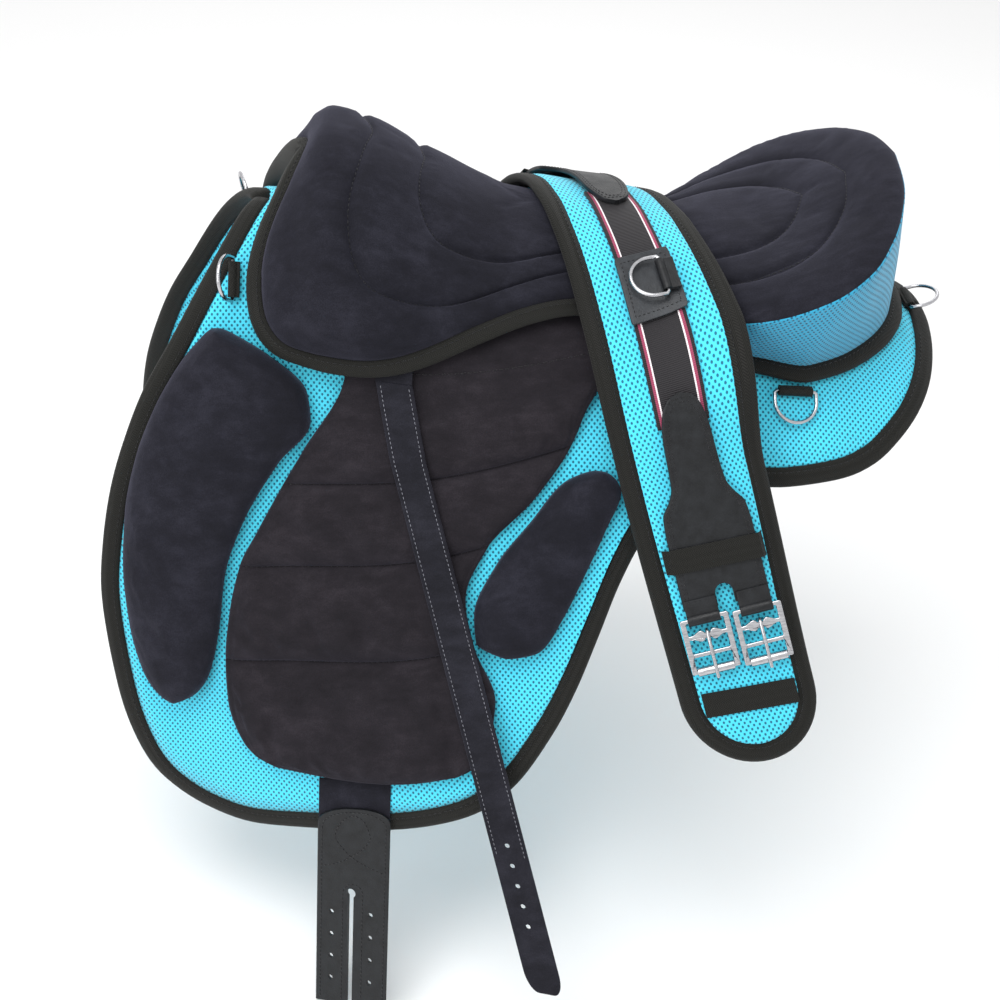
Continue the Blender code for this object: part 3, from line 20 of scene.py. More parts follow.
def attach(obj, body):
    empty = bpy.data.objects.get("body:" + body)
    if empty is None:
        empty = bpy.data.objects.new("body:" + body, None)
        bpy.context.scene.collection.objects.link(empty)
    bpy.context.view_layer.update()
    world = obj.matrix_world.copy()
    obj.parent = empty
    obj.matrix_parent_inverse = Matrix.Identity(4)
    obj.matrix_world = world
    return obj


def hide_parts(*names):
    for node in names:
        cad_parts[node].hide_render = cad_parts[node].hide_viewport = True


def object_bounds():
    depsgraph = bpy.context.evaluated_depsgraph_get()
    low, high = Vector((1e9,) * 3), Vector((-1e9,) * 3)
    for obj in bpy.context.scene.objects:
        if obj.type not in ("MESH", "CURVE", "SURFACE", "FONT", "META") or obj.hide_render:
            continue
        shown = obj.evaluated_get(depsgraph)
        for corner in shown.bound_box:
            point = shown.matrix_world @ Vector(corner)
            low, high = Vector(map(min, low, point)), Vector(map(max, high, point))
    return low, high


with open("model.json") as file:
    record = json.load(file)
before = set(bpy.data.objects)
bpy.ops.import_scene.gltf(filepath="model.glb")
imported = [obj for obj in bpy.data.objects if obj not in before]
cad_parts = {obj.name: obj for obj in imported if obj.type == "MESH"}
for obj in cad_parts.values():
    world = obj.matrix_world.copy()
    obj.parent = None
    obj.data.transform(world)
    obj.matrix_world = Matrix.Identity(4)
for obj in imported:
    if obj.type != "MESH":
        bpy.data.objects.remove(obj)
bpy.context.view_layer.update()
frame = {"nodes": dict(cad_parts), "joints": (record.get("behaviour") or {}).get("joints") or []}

MM = 0.001
SIDES = {"near": 1, "off": -1}

# %% [markdown]
# ## Curves used all over
#
# A saddle has few straight lines. `smooth` is an S between 0 and 1, `bump` is a quarter circle,
# which is how a padded edge rolls over, and `between` is a curve through stations that never
# overshoots, so a padded layer can't dip through the one below it.

# %% Curves
def smooth(t):
    t = np.clip(t, 0, 1)
    return t * t * (3 - 2 * t)


def bump(t):
    t = np.clip(t, 0, 1)
    return np.sqrt(1 - (1 - t) ** 2)


def between(x, xs, ys):
    xs = np.asarray(xs, float)
    ys = np.asarray(ys, float)
    slope = np.diff(ys) / np.diff(xs)
    tangent = np.zeros(len(xs))
    for k in range(1, len(xs) - 1):
        if slope[k - 1] * slope[k] > 0:
            tangent[k] = 2 * slope[k - 1] * slope[k] / (slope[k - 1] + slope[k])
    x = np.clip(x, xs[0], xs[-1])
    i = np.clip(np.searchsorted(xs, x, side="right") - 1, 0, len(xs) - 2)
    width = xs[i + 1] - xs[i]
    t = (x - xs[i]) / width
    return (
        ys[i] * (1 + 2 * t) * (1 - t) ** 2
        + tangent[i] * width * t * (1 - t) ** 2
        + ys[i + 1] * t * t * (3 - 2 * t)
        + tangent[i + 1] * width * t * t * (t - 1)
    )


def spaced(count, ends=0.5):
    """Stations from 0 to 1 that crowd towards both ends, where edges roll over."""
    t = np.linspace(0, 1, count + 1)
    return (1 - ends) * t + ends * (0.5 - 0.5 * np.cos(math.pi * t))


def travelled(line):
    """The length of a line of points up to each of them."""
    steps = np.linalg.norm(np.diff(line, axis=0), axis=1)
    return np.concatenate([[0], np.cumsum(steps)])


# %% [markdown]
# ## The map of the saddle's side
#
# A point on the panels is given by `x` along the saddle, `v` down the side from the ridge and
# `h` out from the face. The slope grows from the ridge to the flap, so the map is found by adding
# up short steps down the side, once, for a fine lattice of stations. `place` then reads it.

# %% The map
FACE_X = np.array([-300, -180, -50, 100, 220, 340]) * MM
FACE_RIDGE = np.array([43, 43, 22, 4, -12, -30]) * MM
FACE_TOP_SLOPE = np.radians([30, 24, 14, 8, 6, 6])
FACE_FLAP_SLOPE = np.radians([76, 72, 66, 60, 54, 46])
FACE_TURN = np.array([130, 140, 160, 180, 180, 180]) * MM
RIDGE_ROUND = 30 * MM
MAP_X = np.linspace(-0.36, 0.40, 381)
MAP_V = np.linspace(0, 0.76, 241)
JUST_INSIDE = 1.001


def make_map():
    top = between(MAP_X, FACE_X, np.degrees(FACE_TOP_SLOPE))[:, None]
    flap = between(MAP_X, FACE_X, np.degrees(FACE_FLAP_SLOPE))[:, None]
    turn = between(MAP_X, FACE_X, FACE_TURN)[:, None]
    v = MAP_V[None, :]
    top, flap = np.radians(top), np.radians(flap)
    slope = top * smooth(v / RIDGE_ROUND) + (flap - top) * smooth(v / turn)
    step = MAP_V[1]
    out = np.cumsum((np.cos(slope[:, 1:]) + np.cos(slope[:, :-1])) * step / 2, axis=1)
    down = np.cumsum((np.sin(slope[:, 1:]) + np.sin(slope[:, :-1])) * step / 2, axis=1)
    start = np.zeros((len(MAP_X), 1))
    ridge = between(MAP_X, FACE_X, FACE_RIDGE)[:, None]
    return np.hstack([start, out]), ridge - np.hstack([start, down]), slope


MAP_OUT, MAP_HIGH, MAP_SLOPE = make_map()


def place(x, v, h=0.0):
    """Points in the saddle's own space, one row for each x, v and h."""
    x, v, h = np.broadcast_arrays(*(np.asarray(k, float) for k in (x, v, h)))
    side = np.where(v < 0, 1.0, -1.0)
    from_front = np.clip(x, MAP_X[0], MAP_X[-1]) - MAP_X[0]
    i = np.clip(from_front / (MAP_X[1] - MAP_X[0]), 0, len(MAP_X) - JUST_INSIDE)
    j = np.clip(np.abs(v) / MAP_V[1], 0, len(MAP_V) - JUST_INSIDE)
    i0, j0 = i.astype(int), j.astype(int)
    fi, fj = i - i0, j - j0

    def read(table):
        low = table[i0, j0] * (1 - fj) + table[i0, j0 + 1] * fj
        high = table[i0 + 1, j0] * (1 - fj) + table[i0 + 1, j0 + 1] * fj
        return low * (1 - fi) + high * fi

    slope = read(MAP_SLOPE)
    y = read(MAP_OUT) + h * np.sin(slope)
    z = read(MAP_HIGH) + h * np.cos(slope)
    return np.stack([x, side * y, z], axis=-1)


def axes_at(where, u, v, h, turn=0.0):
    """A matrix on a layer: +Z out of it, +Y up its second direction, +X across; turned in degrees."""
    step = 1 * MM
    side = -1 if v < 0 else 1
    up = Vector(where(u, v - side * step, h) - where(u, v + side * step, h)).normalized()
    along = Vector(where(u + step, v, h) - where(u - step, v, h)).normalized()
    out = (up.cross(along) * -side).normalized()
    across = up.cross(out)
    matrix = Matrix((across, up, out)).transposed().to_4x4()
    matrix.translation = Vector(where(u, v, h))
    return matrix @ Matrix.Rotation(math.radians(turn), 4, "Z")


def path(points, count, closed=False, columns=2):
    """A smooth curve through the points, at equal steps of its length in the first columns."""
    points = np.array(points, float)
    ring = list(range(len(points)))
    ring = [len(points) - 1, *ring, 0, 1] if closed else [0, *ring, len(points) - 1]
    fine = []
    for a, b, c, d in zip(ring, ring[1:], ring[2:], ring[3:]):
        for t in np.arange(16) / 16:
            fine.append(0.5 * (
                2 * points[b] + (points[c] - points[a]) * t
                + (2 * points[a] - 5 * points[b] + 4 * points[c] - points[d]) * t**2
                + (3 * points[b] - points[a] - 3 * points[c] + points[d]) * t**3
            ))
    fine.append(points[0] if closed else points[-1])
    fine = np.array(fine)
    length = travelled(fine[:, :columns])
    at = np.linspace(0, length[-1], count + 1)
    return np.stack([np.interp(at, length, fine[:, k]) for k in range(fine.shape[1])], axis=1)


def inwards(line, distance, closed=False):
    """The line beside a path of (x, v) points, to its right as it runs."""
    if closed:
        tangent = np.roll(line[:-1], -1, axis=0) - np.roll(line[:-1], 1, axis=0)
        tangent = np.vstack([tangent, tangent[:1]])[:, :2]
    else:
        tangent = np.gradient(line[:, :2], axis=0)
    tangent /= np.linalg.norm(tangent, axis=1)[:, None]
    moved = line.copy()
    distance = np.asarray(distance)
    moved[:, 0] += tangent[:, 1] * distance
    moved[:, 1] -= tangent[:, 0] * distance
    return moved


print("map of", MAP_OUT.shape, "stations; ridge at mid saddle", place(0, 0.0).round(4))

# %% [markdown]
# ## How a layer becomes a mesh
#
# A grid is the plainest start for cloth. Each of its points remembers two numbers, how far across
# and how far along it is. A function moves the points to the layer's face, points that meet are
# merged, and the sheet is extruded once for its back. A grid rolled up this way also makes straps
# and bindings, whose section closes on itself.

# %% Layers
def skin(name, across, along, outer, inner=None, pattern=None):
    """outer and inner turn arrays a, b into points; pattern gives the cloth's own coordinates."""
    bm = bmesh.new()
    bmesh.ops.create_grid(bm, x_segments=len(across) - 1, y_segments=len(along) - 1, size=1)
    grid = bm.verts.layers.float_vector.new("grid")
    for vert in bm.verts:
        i = round((vert.co.x + 1) / 2 * (len(across) - 1))
        j = round((vert.co.y + 1) / 2 * (len(along) - 1))
        vert[grid] = (across[i], along[j], 0)

    def move(verts, shape):
        ab = np.array([vert[grid] for vert in verts])
        for vert, point in zip(verts, shape(ab[:, 0], ab[:, 1])):
            vert.co = point

    move(bm.verts[:], outer)
    bmesh.ops.remove_doubles(bm, verts=bm.verts[:], dist=2e-6)
    if inner:
        made = bmesh.ops.extrude_face_region(bm, geom=bm.faces[:])["geom"]
        back = [v for v in made if isinstance(v, bmesh.types.BMVert)]
        move(back, inner)
        for vert in back:
            vert[grid] = (vert[grid].x, vert[grid].y, 1)
    else:
        bmesh.ops.holes_fill(bm, edges=[e for e in bm.edges if e.is_boundary], sides=0)
    if pattern:
        cloth = bm.verts.layers.float_vector.new("cloth")
        verts = bm.verts[:]
        ab = np.array([vert[grid] for vert in verts])
        for vert, uv in zip(verts, pattern(ab[:, 0], ab[:, 1])):
            vert[cloth] = (*uv, 0)
    return closed_object(name, bm)


def closed_object(name, bm):
    bmesh.ops.recalc_face_normals(bm, faces=bm.faces[:])
    if bm.calc_volume(signed=True) < 0:
        bmesh.ops.reverse_faces(bm, faces=bm.faces[:])
    mesh = bpy.data.meshes.new(name)
    bm.to_mesh(mesh)
    bm.free()
    mesh.shade_smooth()
    obj = bpy.data.objects.new(name, mesh)
    bpy.context.scene.collection.objects.link(obj)
    return obj


def wire(name, points, diameter, closed, matrix):
    """A bent rod through local points, with round ends where it is open."""
    curve = bpy.data.curves.new(name, "CURVE")
    curve.dimensions = "3D"
    curve.bevel_depth = diameter / 2
    curve.bevel_resolution = 4
    curve.use_fill_caps = True
    spline = curve.splines.new("POLY")
    spline.points.add(len(points) - 1)
    for point, co in zip(spline.points, points):
        point.co = (*co, 1)
    spline.use_cyclic_u = closed
    return as_mesh(bpy.data.objects.new(name, curve), matrix)


def as_mesh(obj, matrix):
    """A curve made into a mesh whose points are already in place."""
    name = obj.name
    bpy.context.scene.collection.objects.link(obj)
    bpy.context.view_layer.update()
    graph = bpy.context.evaluated_depsgraph_get()
    mesh = bpy.data.meshes.new_from_object(obj.evaluated_get(graph))
    bpy.data.objects.remove(obj)
    bm = bmesh.new()
    bm.from_mesh(mesh)
    bmesh.ops.remove_doubles(bm, verts=bm.verts[:], dist=1e-6)
    bmesh.ops.transform(bm, matrix=matrix, verts=bm.verts[:])
    return closed_object(name, bm)


def plate(name, outlines, thick, matrix, edge=0.4 * MM):
    """A flat blank with holes, its edges rounded over."""
    curve = bpy.data.curves.new(name, "CURVE")
    curve.dimensions = "2D"
    curve.fill_mode = "BOTH"
    curve.extrude = thick / 2
    for outline in outlines:
        spline = curve.splines.new("POLY")
        spline.points.add(len(outline) - 1)
        for point, (x, y) in zip(spline.points, outline):
            point.co = (x, y, 0, 1)
        spline.use_cyclic_u = True
    obj = as_mesh(bpy.data.objects.new(name, curve), matrix)
    bm = bmesh.new()
    bm.from_mesh(obj.data)
    sharp = [e for e in bm.edges if e.calc_face_angle(0) > math.radians(60)]
    bmesh.ops.bevel(bm, geom=sharp, offset=edge, affect="EDGES", segments=3, profile=0.5, material=-1)
    bm.to_mesh(obj.data)
    bm.free()
    return obj


def arc(cx, cy, radius, start, end, count):
    angles = np.radians(np.linspace(start, end, count))
    return [(cx + radius * math.cos(a), cy + radius * math.sin(a)) for a in angles]


def cut(obj, cutter, operation="DIFFERENCE"):
    """Takes one solid out of another, or joins them, and keeps the result as a plain mesh."""
    modifier = obj.modifiers.new("cut", "BOOLEAN")
    modifier.operation = operation
    modifier.solver = "EXACT"
    modifier.object = cutter
    bpy.context.view_layer.update()
    graph = bpy.context.evaluated_depsgraph_get()
    made = bpy.data.meshes.new_from_object(obj.evaluated_get(graph))
    obj.modifiers.clear()
    obj.data = made
    bpy.data.objects.remove(cutter)
    made.shade_smooth()
    made.set_sharp_from_angle(angle=math.radians(50))
    return obj


CUTTER_DEPTH = 30 * MM


def pins(frames, diameter):
    """One cutter of several round pins, each on a frame's own Z."""
    bm = bmesh.new()
    for matrix in frames:
        bmesh.ops.create_cone(
            bm, cap_ends=True, segments=20, radius1=diameter / 2, radius2=diameter / 2,
            depth=CUTTER_DEPTH, matrix=matrix,
        )
    return closed_object("pins", bm)


def block(name, width, length, matrix):
    """A cutter with square corners, as deep as the pins."""
    bm = bmesh.new()
    bmesh.ops.create_cube(bm, size=1, matrix=matrix @ Matrix.Diagonal((width, length, CUTTER_DEPTH, 1)))
    return closed_object(name, bm)


def oblong(width, thick, radius, across=6, corner=4):
    """A strap's section with rounded corners, from the middle of its back round to there again."""
    half = width / 2 - radius
    flat = [(w, 0) for w in np.linspace(0, half, across // 2 + 1)[:-1]]
    right = arc(half, radius, radius, -90, 0, corner) + arc(half, thick - radius, radius, 0, 90, corner)
    top = [(w, thick) for w in np.linspace(half, 0, across // 2 + 1)[1:]]
    one = flat + right + top
    other = [(-w, h) for w, h in one[-2::-1]]
    return np.array(one + other)


def band(name, section, along, where, taper=None):
    """A strap: its section, given across and up, is carried along s by where(s, w, h)."""
    turns = np.linspace(0, 1, len(section))
    narrow = taper or (lambda s: 1.0)

    def outer(a, s):
        return where(s, np.interp(a, turns, section[:, 0]) * narrow(s), np.interp(a, turns, section[:, 1]))

    def pattern(a, s):
        return np.stack([np.interp(a, turns, section[:, 0]), s], axis=1)

    return skin(name, turns, along, outer, pattern=pattern)


# The folded webbing's section: depth in from the edge and height, as shares of its width and thickness.
ROLL_MIDDLE = 0.62
ROLL_DEPTH = 0.6
ROLL_TURN = 1.35
ROLL = [
    (ROLL_MIDDLE - ROLL_DEPTH * math.cos(t), 0.5 + 0.5 * math.sin(t))
    for t in np.linspace(-ROLL_TURN, ROLL_TURN, 9)
]
ROLL_PROFILE = [(1, 0), (0.8, 0), *ROLL, (0.8, 1), (1, 1), (1, 0.5)]


def rolled_edge(name, line, width, low, high, where, closed=False, least_v=None):
    """Webbing folded round an edge: line is its outer side, and low and high lie at its two faces."""
    profile = np.array(ROLL_PROFILE)
    count = len(profile)
    lines = np.array([inwards(line, depth * width, closed) for depth, _ in profile])
    if least_v is not None:
        lines[:, :, 1] = np.maximum(lines[:, :, 1], least_v)
    low = np.broadcast_to(low, len(line))
    high = np.broadcast_to(high, len(line))
    length = travelled(line[:, :2])
    thick = float(np.mean(high - low))
    round_it = travelled(np.vstack([profile, profile[:1]]) * (width, thick))

    def outer(a, b):
        k = np.rint(a * count).astype(int) % count
        j = np.rint(b).astype(int)
        h = low[j] + (high[j] - low[j]) * profile[k, 1]
        return where(lines[k, j, 0], lines[k, j, 1], h)

    def pattern(a, b):
        return np.stack([round_it[np.rint(a * count).astype(int)], length[np.rint(b).astype(int)]], axis=1)

    return skin(name, np.arange(count + 1) / count, np.arange(len(line)), outer, pattern=pattern)


# %% [markdown]
# ## Stuffing
#
# A padded piece is blown up by a cloth simulation, as its foam pushes the cover out between the
# seams. The back, the rim and the seams are pinned, and the cover is cut a little too large, so
# that it puckers beside a seam. No point may move inwards, or further than a few millimetres. The
# result is kept as plain points, and the off side gets the near side's, mirrored.

# %% Stuffing
STUFFING = {}
LAST_FRAME = 20


def points_of(mesh):
    flat = np.empty(len(mesh.vertices) * 3)
    mesh.vertices.foreach_get("co", flat)
    return flat.reshape(-1, 3)


def blown_up(obj, pinned, slack, pressure=4.0):
    """Where the cloth simulation takes each point of a closed cover."""
    group = obj.vertex_groups.new(name="pinned")
    for index, weight in enumerate(pinned):
        if weight > 0.01:
            group.add([index], float(weight), "REPLACE")
    cloth = obj.modifiers.new("cover", "CLOTH")
    cloth.collision_settings.use_collision = False
    cloth.point_cache.frame_start = 1
    cloth.point_cache.frame_end = LAST_FRAME
    settings = cloth.settings
    settings.quality = 5
    settings.mass = 0.3
    settings.tension_stiffness = settings.compression_stiffness = 12
    settings.shear_stiffness = 4
    settings.bending_stiffness = 0.15
    settings.vertex_group_mass = group.name
    settings.shrink_min = -slack
    settings.use_pressure = True
    settings.uniform_pressure_force = pressure
    settings.effector_weights.gravity = 0
    for moment in range(1, LAST_FRAME + 1):
        bpy.context.scene.frame_set(moment)
    graph = bpy.context.evaluated_depsgraph_get()
    moved = points_of(obj.evaluated_get(graph).data)
    obj.modifiers.clear()
    obj.vertex_groups.clear()
    bpy.context.scene.frame_set(1)
    return moved


def stuffed(obj, kind, side, held, most, slack):
    """Plumps a piece. held(a, b) is 1 where a seam or a rim pins the cover, 0 where it is free."""
    at = points_of(obj.data)
    flip = np.array([1, side, 1])
    if kind not in STUFFING:
        grid = np.array([item.vector for item in obj.data.attributes["grid"].data])
        pinned = np.maximum(grid[:, 2], held(grid[:, 0], grid[:, 1]))
        move = blown_up(obj, pinned, slack) - at
        normals = np.array([item.vector for item in obj.data.vertex_normals])
        move -= normals * np.minimum(np.sum(move * normals, axis=1), 0)[:, None]
        far = np.linalg.norm(move, axis=1)
        STUFFING[kind] = move / np.sqrt(1 + (far / most) ** 2)[:, None] * flip
        print(kind, "cover: most", round(float(far.max()) * 1000, 2), "mm before the limit")
    obj.data.vertices.foreach_set("co", (at + STUFFING[kind] * flip).ravel())
    obj.data.update()


# %% [markdown]
# ## Stitches
#
# Thread shows as short beads that dip in and out of the cloth, so each stitch is a small ball
# drawn out along its seam. `on_surface` finds where a seam lies on a finished piece by looking
# straight in at it, so a seam follows every dent of the padding.

# %% Stitches
LOOK_FROM = 0.16
LOOK_TO = 0.15


def on_surface(obj, x, v, side, lift=0.2 * MM):
    """Points of obj seen from outside at each (x, v), lifted a little."""
    tree = BVHTree.FromObject(obj, bpy.context.evaluated_depsgraph_get())
    far = place(x, side * np.asarray(v), LOOK_FROM)
    near = place(x, side * np.asarray(v), LOOK_TO)
    found = []
    for one, two in zip(far, near):
        inward = (Vector(two) - Vector(one)).normalized()
        hit = tree.ray_cast(Vector(one), inward)[0]
        if hit is not None:
            found.append(hit - inward * lift)
    return np.array(found)


def sew(name, runs, body, thread, stitch=3.4 * MM, gap=1.2 * MM, width=0.8 * MM):
    """Stitches along 3-D lines, as one piece."""
    whole = bmesh.new()
    for run in runs:
        run = np.asarray(run, float)
        length = travelled(run)
        count = max(int(length[-1] / (stitch + gap)), 1)
        part = bmesh.new()
        for k in range(count):
            middle = (k + 0.5) * length[-1] / count
            ends = [
                Vector([np.interp(middle + d * stitch / 2, length, run[:, i]) for i in range(3)])
                for d in (-1, 1)
            ]
            along = ends[1] - ends[0]
            if along.length < stitch / 4:
                continue
            turn = along.to_track_quat("X", "Z").to_matrix().to_4x4()
            size = Matrix.Diagonal((along.length * 1.1, width, width, 1))
            matrix = Matrix.Translation((ends[0] + ends[1]) / 2) @ turn @ size
            bmesh.ops.create_uvsphere(part, u_segments=6, v_segments=4, radius=0.5, matrix=matrix)
        bead = bpy.data.meshes.new("beads")
        part.to_mesh(bead)
        part.free()
        whole.from_mesh(bead)
        bpy.data.meshes.remove(bead)
    return dressed(closed_object(name, whole), body, thread)


# %% [markdown]
# ## Camera and light
#
# The photograph looks down on the saddle's near side from a little over a third of a right angle,
# with the pommel to the left. The lens and the distance were fitted together, so that what lies
# further back shrinks as much as it does there. The light is a bright tent: one broad lamp above,
# one from each side, and a pale floor, laid last, that sends light back up.

# %% Camera and light
CAMERA_TARGET = Vector((-0.002, -0.12, -0.15))
CAMERA_DISTANCE = 1.197
CAMERA_AZIMUTH = math.radians(-5.1)
CAMERA_PITCH = math.radians(35.3)
CAMERA_ROLL = math.radians(4.3)
CAMERA_LENS = 55.9


def add_camera():
    flat = Vector((-math.sin(CAMERA_AZIMUTH), math.cos(CAMERA_AZIMUTH), 0))
    forward = flat * math.cos(CAMERA_PITCH) - Vector((0, 0, math.sin(CAMERA_PITCH)))
    level = Vector((math.cos(CAMERA_AZIMUTH), math.sin(CAMERA_AZIMUTH), 0))
    upright = level.cross(forward)
    right = level * math.cos(CAMERA_ROLL) + upright * math.sin(CAMERA_ROLL)
    up = upright * math.cos(CAMERA_ROLL) - level * math.sin(CAMERA_ROLL)
    data = bpy.data.cameras.new("camera")
    data.sensor_width = 36
    data.lens = CAMERA_LENS
    camera = bpy.data.objects.new("camera", data)
    matrix = Matrix((right, up, -forward)).transposed().to_4x4()
    matrix.translation = CAMERA_TARGET - forward * CAMERA_DISTANCE
    camera.matrix_world = matrix
    bpy.context.scene.collection.objects.link(camera)
    bpy.context.scene.camera = camera


def add_lamp(name, size, watts, place_at, aim=CAMERA_TARGET):
    data = bpy.data.lights.new(name, "AREA")
    data.shape = "DISK"
    data.size = size
    data.energy = watts
    lamp = bpy.data.objects.new(name, data)
    lamp.location = place_at
    lamp.rotation_euler = (aim - Vector(place_at)).to_track_quat("-Z", "Y").to_euler()
    bpy.context.scene.collection.objects.link(lamp)


add_camera()
add_lamp("lamp above", 1.4, 26, (-0.5, -0.7, 1.7))
add_lamp("lamp near side", 1.2, 13, (-1.5, -1.7, 0.7))
add_lamp("lamp far side", 1.2, 5, (0.6, 1.8, 1.2))

TENT_STRENGTH = 0.95
world = bpy.data.worlds.new("bright tent")
world.use_nodes = True
world.node_tree.nodes["Background"].inputs["Color"].default_value = (1, 1, 1, 1)
world.node_tree.nodes["Background"].inputs["Strength"].default_value = TENT_STRENGTH
bpy.context.scene.world = world
bpy.context.scene.view_settings.view_transform = "Standard"
print("camera", CAMERA_DISTANCE, "m away, lens", CAMERA_LENS, "mm")

# %% [markdown]
# ## Materials
#
# Each finish starts from what the real cloth, hide or metal is. Colours are written as they would
# be picked from a screen and turned to linear light by one function, and one more function adds a
# node with its settings and its links. Patterns that follow a piece read its `cloth` attribute,
# which holds metres across and along it, so thread counts and hole spacings are real sizes.

# %% Nodes and colours
def hex_colour(code):
    parts = [int(code[k:k + 2], 16) / 255 for k in (1, 3, 5)]
    return (*[p / 12.92 if p <= 0.04045 else ((p + 0.055) / 1.055) ** 2.4 for p in parts], 1)


def add_node(tree, kind, inputs=None, **settings):
    """A node with its settings, its inputs linked from sockets or set to plain values."""
    made = tree.nodes.new(kind)
    for key, value in settings.items():
        setattr(made, key, value)
    for key, value in (inputs or {}).items():
        if isinstance(value, bpy.types.NodeSocket):
            tree.links.new(value, made.inputs[key])
        else:
            made.inputs[key].default_value = value
    return made


def math_chain(tree, start, *steps):
    """One value through a row of sums: each step is an operation and what else goes into it."""
    for operation, *others in steps:
        inputs = {0: start, **{k + 1: other for k, other in enumerate(others)}}
        start = add_node(tree, "ShaderNodeMath", inputs, operation=operation).outputs[0]
    return start


def new_material(name, shader):
    material = bpy.data.materials.new(name)
    material.use_nodes = True
    principled = material.node_tree.nodes["Principled BSDF"]
    for socket, value in shader.items():
        principled.inputs[socket].default_value = value
    return material, material.node_tree, principled


def colour_ramp(tree, factor, *stops):
    """Colours at places from 0 to 1 along a factor."""
    ramp = add_node(tree, "ShaderNodeValToRGB", {"Fac": factor})
    marks = ramp.color_ramp.elements
    while len(marks) < len(stops):
        marks.new(0.5)
    for mark, (at, code) in zip(marks, stops):
        mark.position = at
        mark.color = hex_colour(code)
    return ramp.outputs["Color"]


def relief(tree, principled, height, depth, under=None):
    """Bump of a real depth in metres."""
    inputs = {"Height": height, "Distance": depth, "Strength": 1.0}
    if under:
        inputs["Normal"] = under
    bump_node = add_node(tree, "ShaderNodeBump", inputs)
    tree.links.new(bump_node.outputs["Normal"], principled.inputs["Normal"])
    return bump_node.outputs["Normal"]


def dressed(obj, body, material, replaces=()):
    """Gives a piece its finish, the body it rides on and the nodes it stands for."""
    finish, slot_name = MATERIALS[material]
    obj.data.materials.clear()
    obj.data.materials.append(finish)
    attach(obj, body)
    if replaces:
        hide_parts(*replaces)
    return obj


MATERIALS = {}

# %% [markdown]
# ### Air mesh
#
# Spacer mesh is two knitted faces held apart by fine threads. The outer face is knitted with rows
# of small oval holes, each row shifted by half a step. The rims of the holes get a lighter colour,
# a painted highlight where the light catches them, and the insides a darker blue, painted shade in
# the recess, so a hole changes both the colour and the height.

# %% Air mesh
HOLE_PITCH_U = 4.2 * MM
HOLE_PITCH_V = 2.7 * MM
HOLE_HALF_U = 0.75 * MM
HOLE_HALF_V = 0.95 * MM
YARN = 0.4545 * MM
DYE_PATCH = 71.43 * MM


def hole_pattern(tree):
    """0 between the holes and 1 inside them, on rows shifted by half a step."""
    uv = add_node(tree, "ShaderNodeAttribute", attribute_name="cloth").outputs["Vector"]
    u, v, _ = add_node(tree, "ShaderNodeSeparateXYZ", {0: uv}).outputs
    row = math_chain(tree, v, ("DIVIDE", HOLE_PITCH_V))
    shift = math_chain(tree, row, ("FLOOR",), ("MULTIPLY", 0.5))
    cell_u = math_chain(tree, u, ("DIVIDE", HOLE_PITCH_U), ("ADD", shift), ("FRACT",), ("SUBTRACT", 0.5))
    cell_v = math_chain(tree, row, ("FRACT",), ("SUBTRACT", 0.5))
    square_u = math_chain(tree, cell_u, ("MULTIPLY", HOLE_PITCH_U / HOLE_HALF_U), ("POWER", 2.0))
    square_v = math_chain(tree, cell_v, ("MULTIPLY", HOLE_PITCH_V / HOLE_HALF_V), ("POWER", 2.0))
    distance = math_chain(tree, square_u, ("ADD", square_v), ("SQRT",))
    hole = add_node(tree, "ShaderNodeMapRange", {"Value": distance, 1: 1.4, 2: 0.6, 3: 0.0, 4: 1.0},
                    interpolation_type="SMOOTHSTEP")
    return hole.outputs[0], uv


def air_mesh(name, rim, face, hole):
    """Knitted polyester: matt, with a little sheen from the standing threads."""
    material, tree, shader = new_material(name, {
        "Roughness": 0.72, "IOR": 1.53, "Sheen Weight": 0.25, "Sheen Roughness": 0.5,
        "Specular IOR Level": 0.35,
    })
    holes, uv = hole_pattern(tree)
    # The ramp paints a highlight on the hole rims and shade inside the holes.
    colour = colour_ramp(tree, holes, (0.0, rim), (0.35, face), (0.8, hole))
    place_node = add_node(tree, "ShaderNodeTexCoord").outputs["Object"]
    drift = add_node(tree, "ShaderNodeTexNoise", {
        "Vector": place_node, "Scale": 1 / DYE_PATCH, "Detail": 2.0,
    })
    shade = add_node(tree, "ShaderNodeMapRange", {
        "Value": drift.outputs[0], 1: 0.3, 2: 0.7, 3: 0.93, 4: 1.05,
    })
    tinted = add_node(tree, "ShaderNodeVectorMath", {0: colour, "Scale": shade.outputs[0]}, operation="SCALE")
    tree.links.new(tinted.outputs[0], shader.inputs["Base Color"])
    threads = add_node(tree, "ShaderNodeTexNoise", {"Vector": uv, "Scale": 1 / YARN, "Detail": 2.0})
    height = math_chain(tree, threads.outputs[0], ("MULTIPLY", 0.35), ("SUBTRACT", holes))
    relief(tree, shader, height, 0.5 * MM)
    return material


MATERIALS["air mesh"] = (
    air_mesh("knitted polyester air mesh", "#44CEE9", "#2BB7D7", "#08657F"), "air_mesh",
)
# The gusset gets the panels' mesh drawn darker and bluer: painted shade for a wall that faces away from the
# light.
MATERIALS["gusset mesh with painted shade"] = (
    air_mesh("knitted air mesh of the gusset, darkened with painted shade", "#289CC2", "#1C88AF", "#08526F"), "air_mesh",
)
print("air mesh: holes", HOLE_PITCH_U, "by", HOLE_PITCH_V, "m apart")

# %% [markdown]
# ### Suede
#
# The black parts are brushed microfibre suede. Its nap lies one way or the other where a hand has
# passed, so it has soft cloudy marks a few centimetres across, short brush strokes inside them and
# a velvet edge where it turns away. Sheen gives that edge, and three noises make the nap: wide
# clouds, the strokes of a hand and the fibres.

# %% Suede
NAP_CLOUD = 45.45 * MM
BRUSH_STROKE = (25 * MM, 6.667 * MM, 11.11 * MM)
NAP_FIBRE = 0.7143 * MM


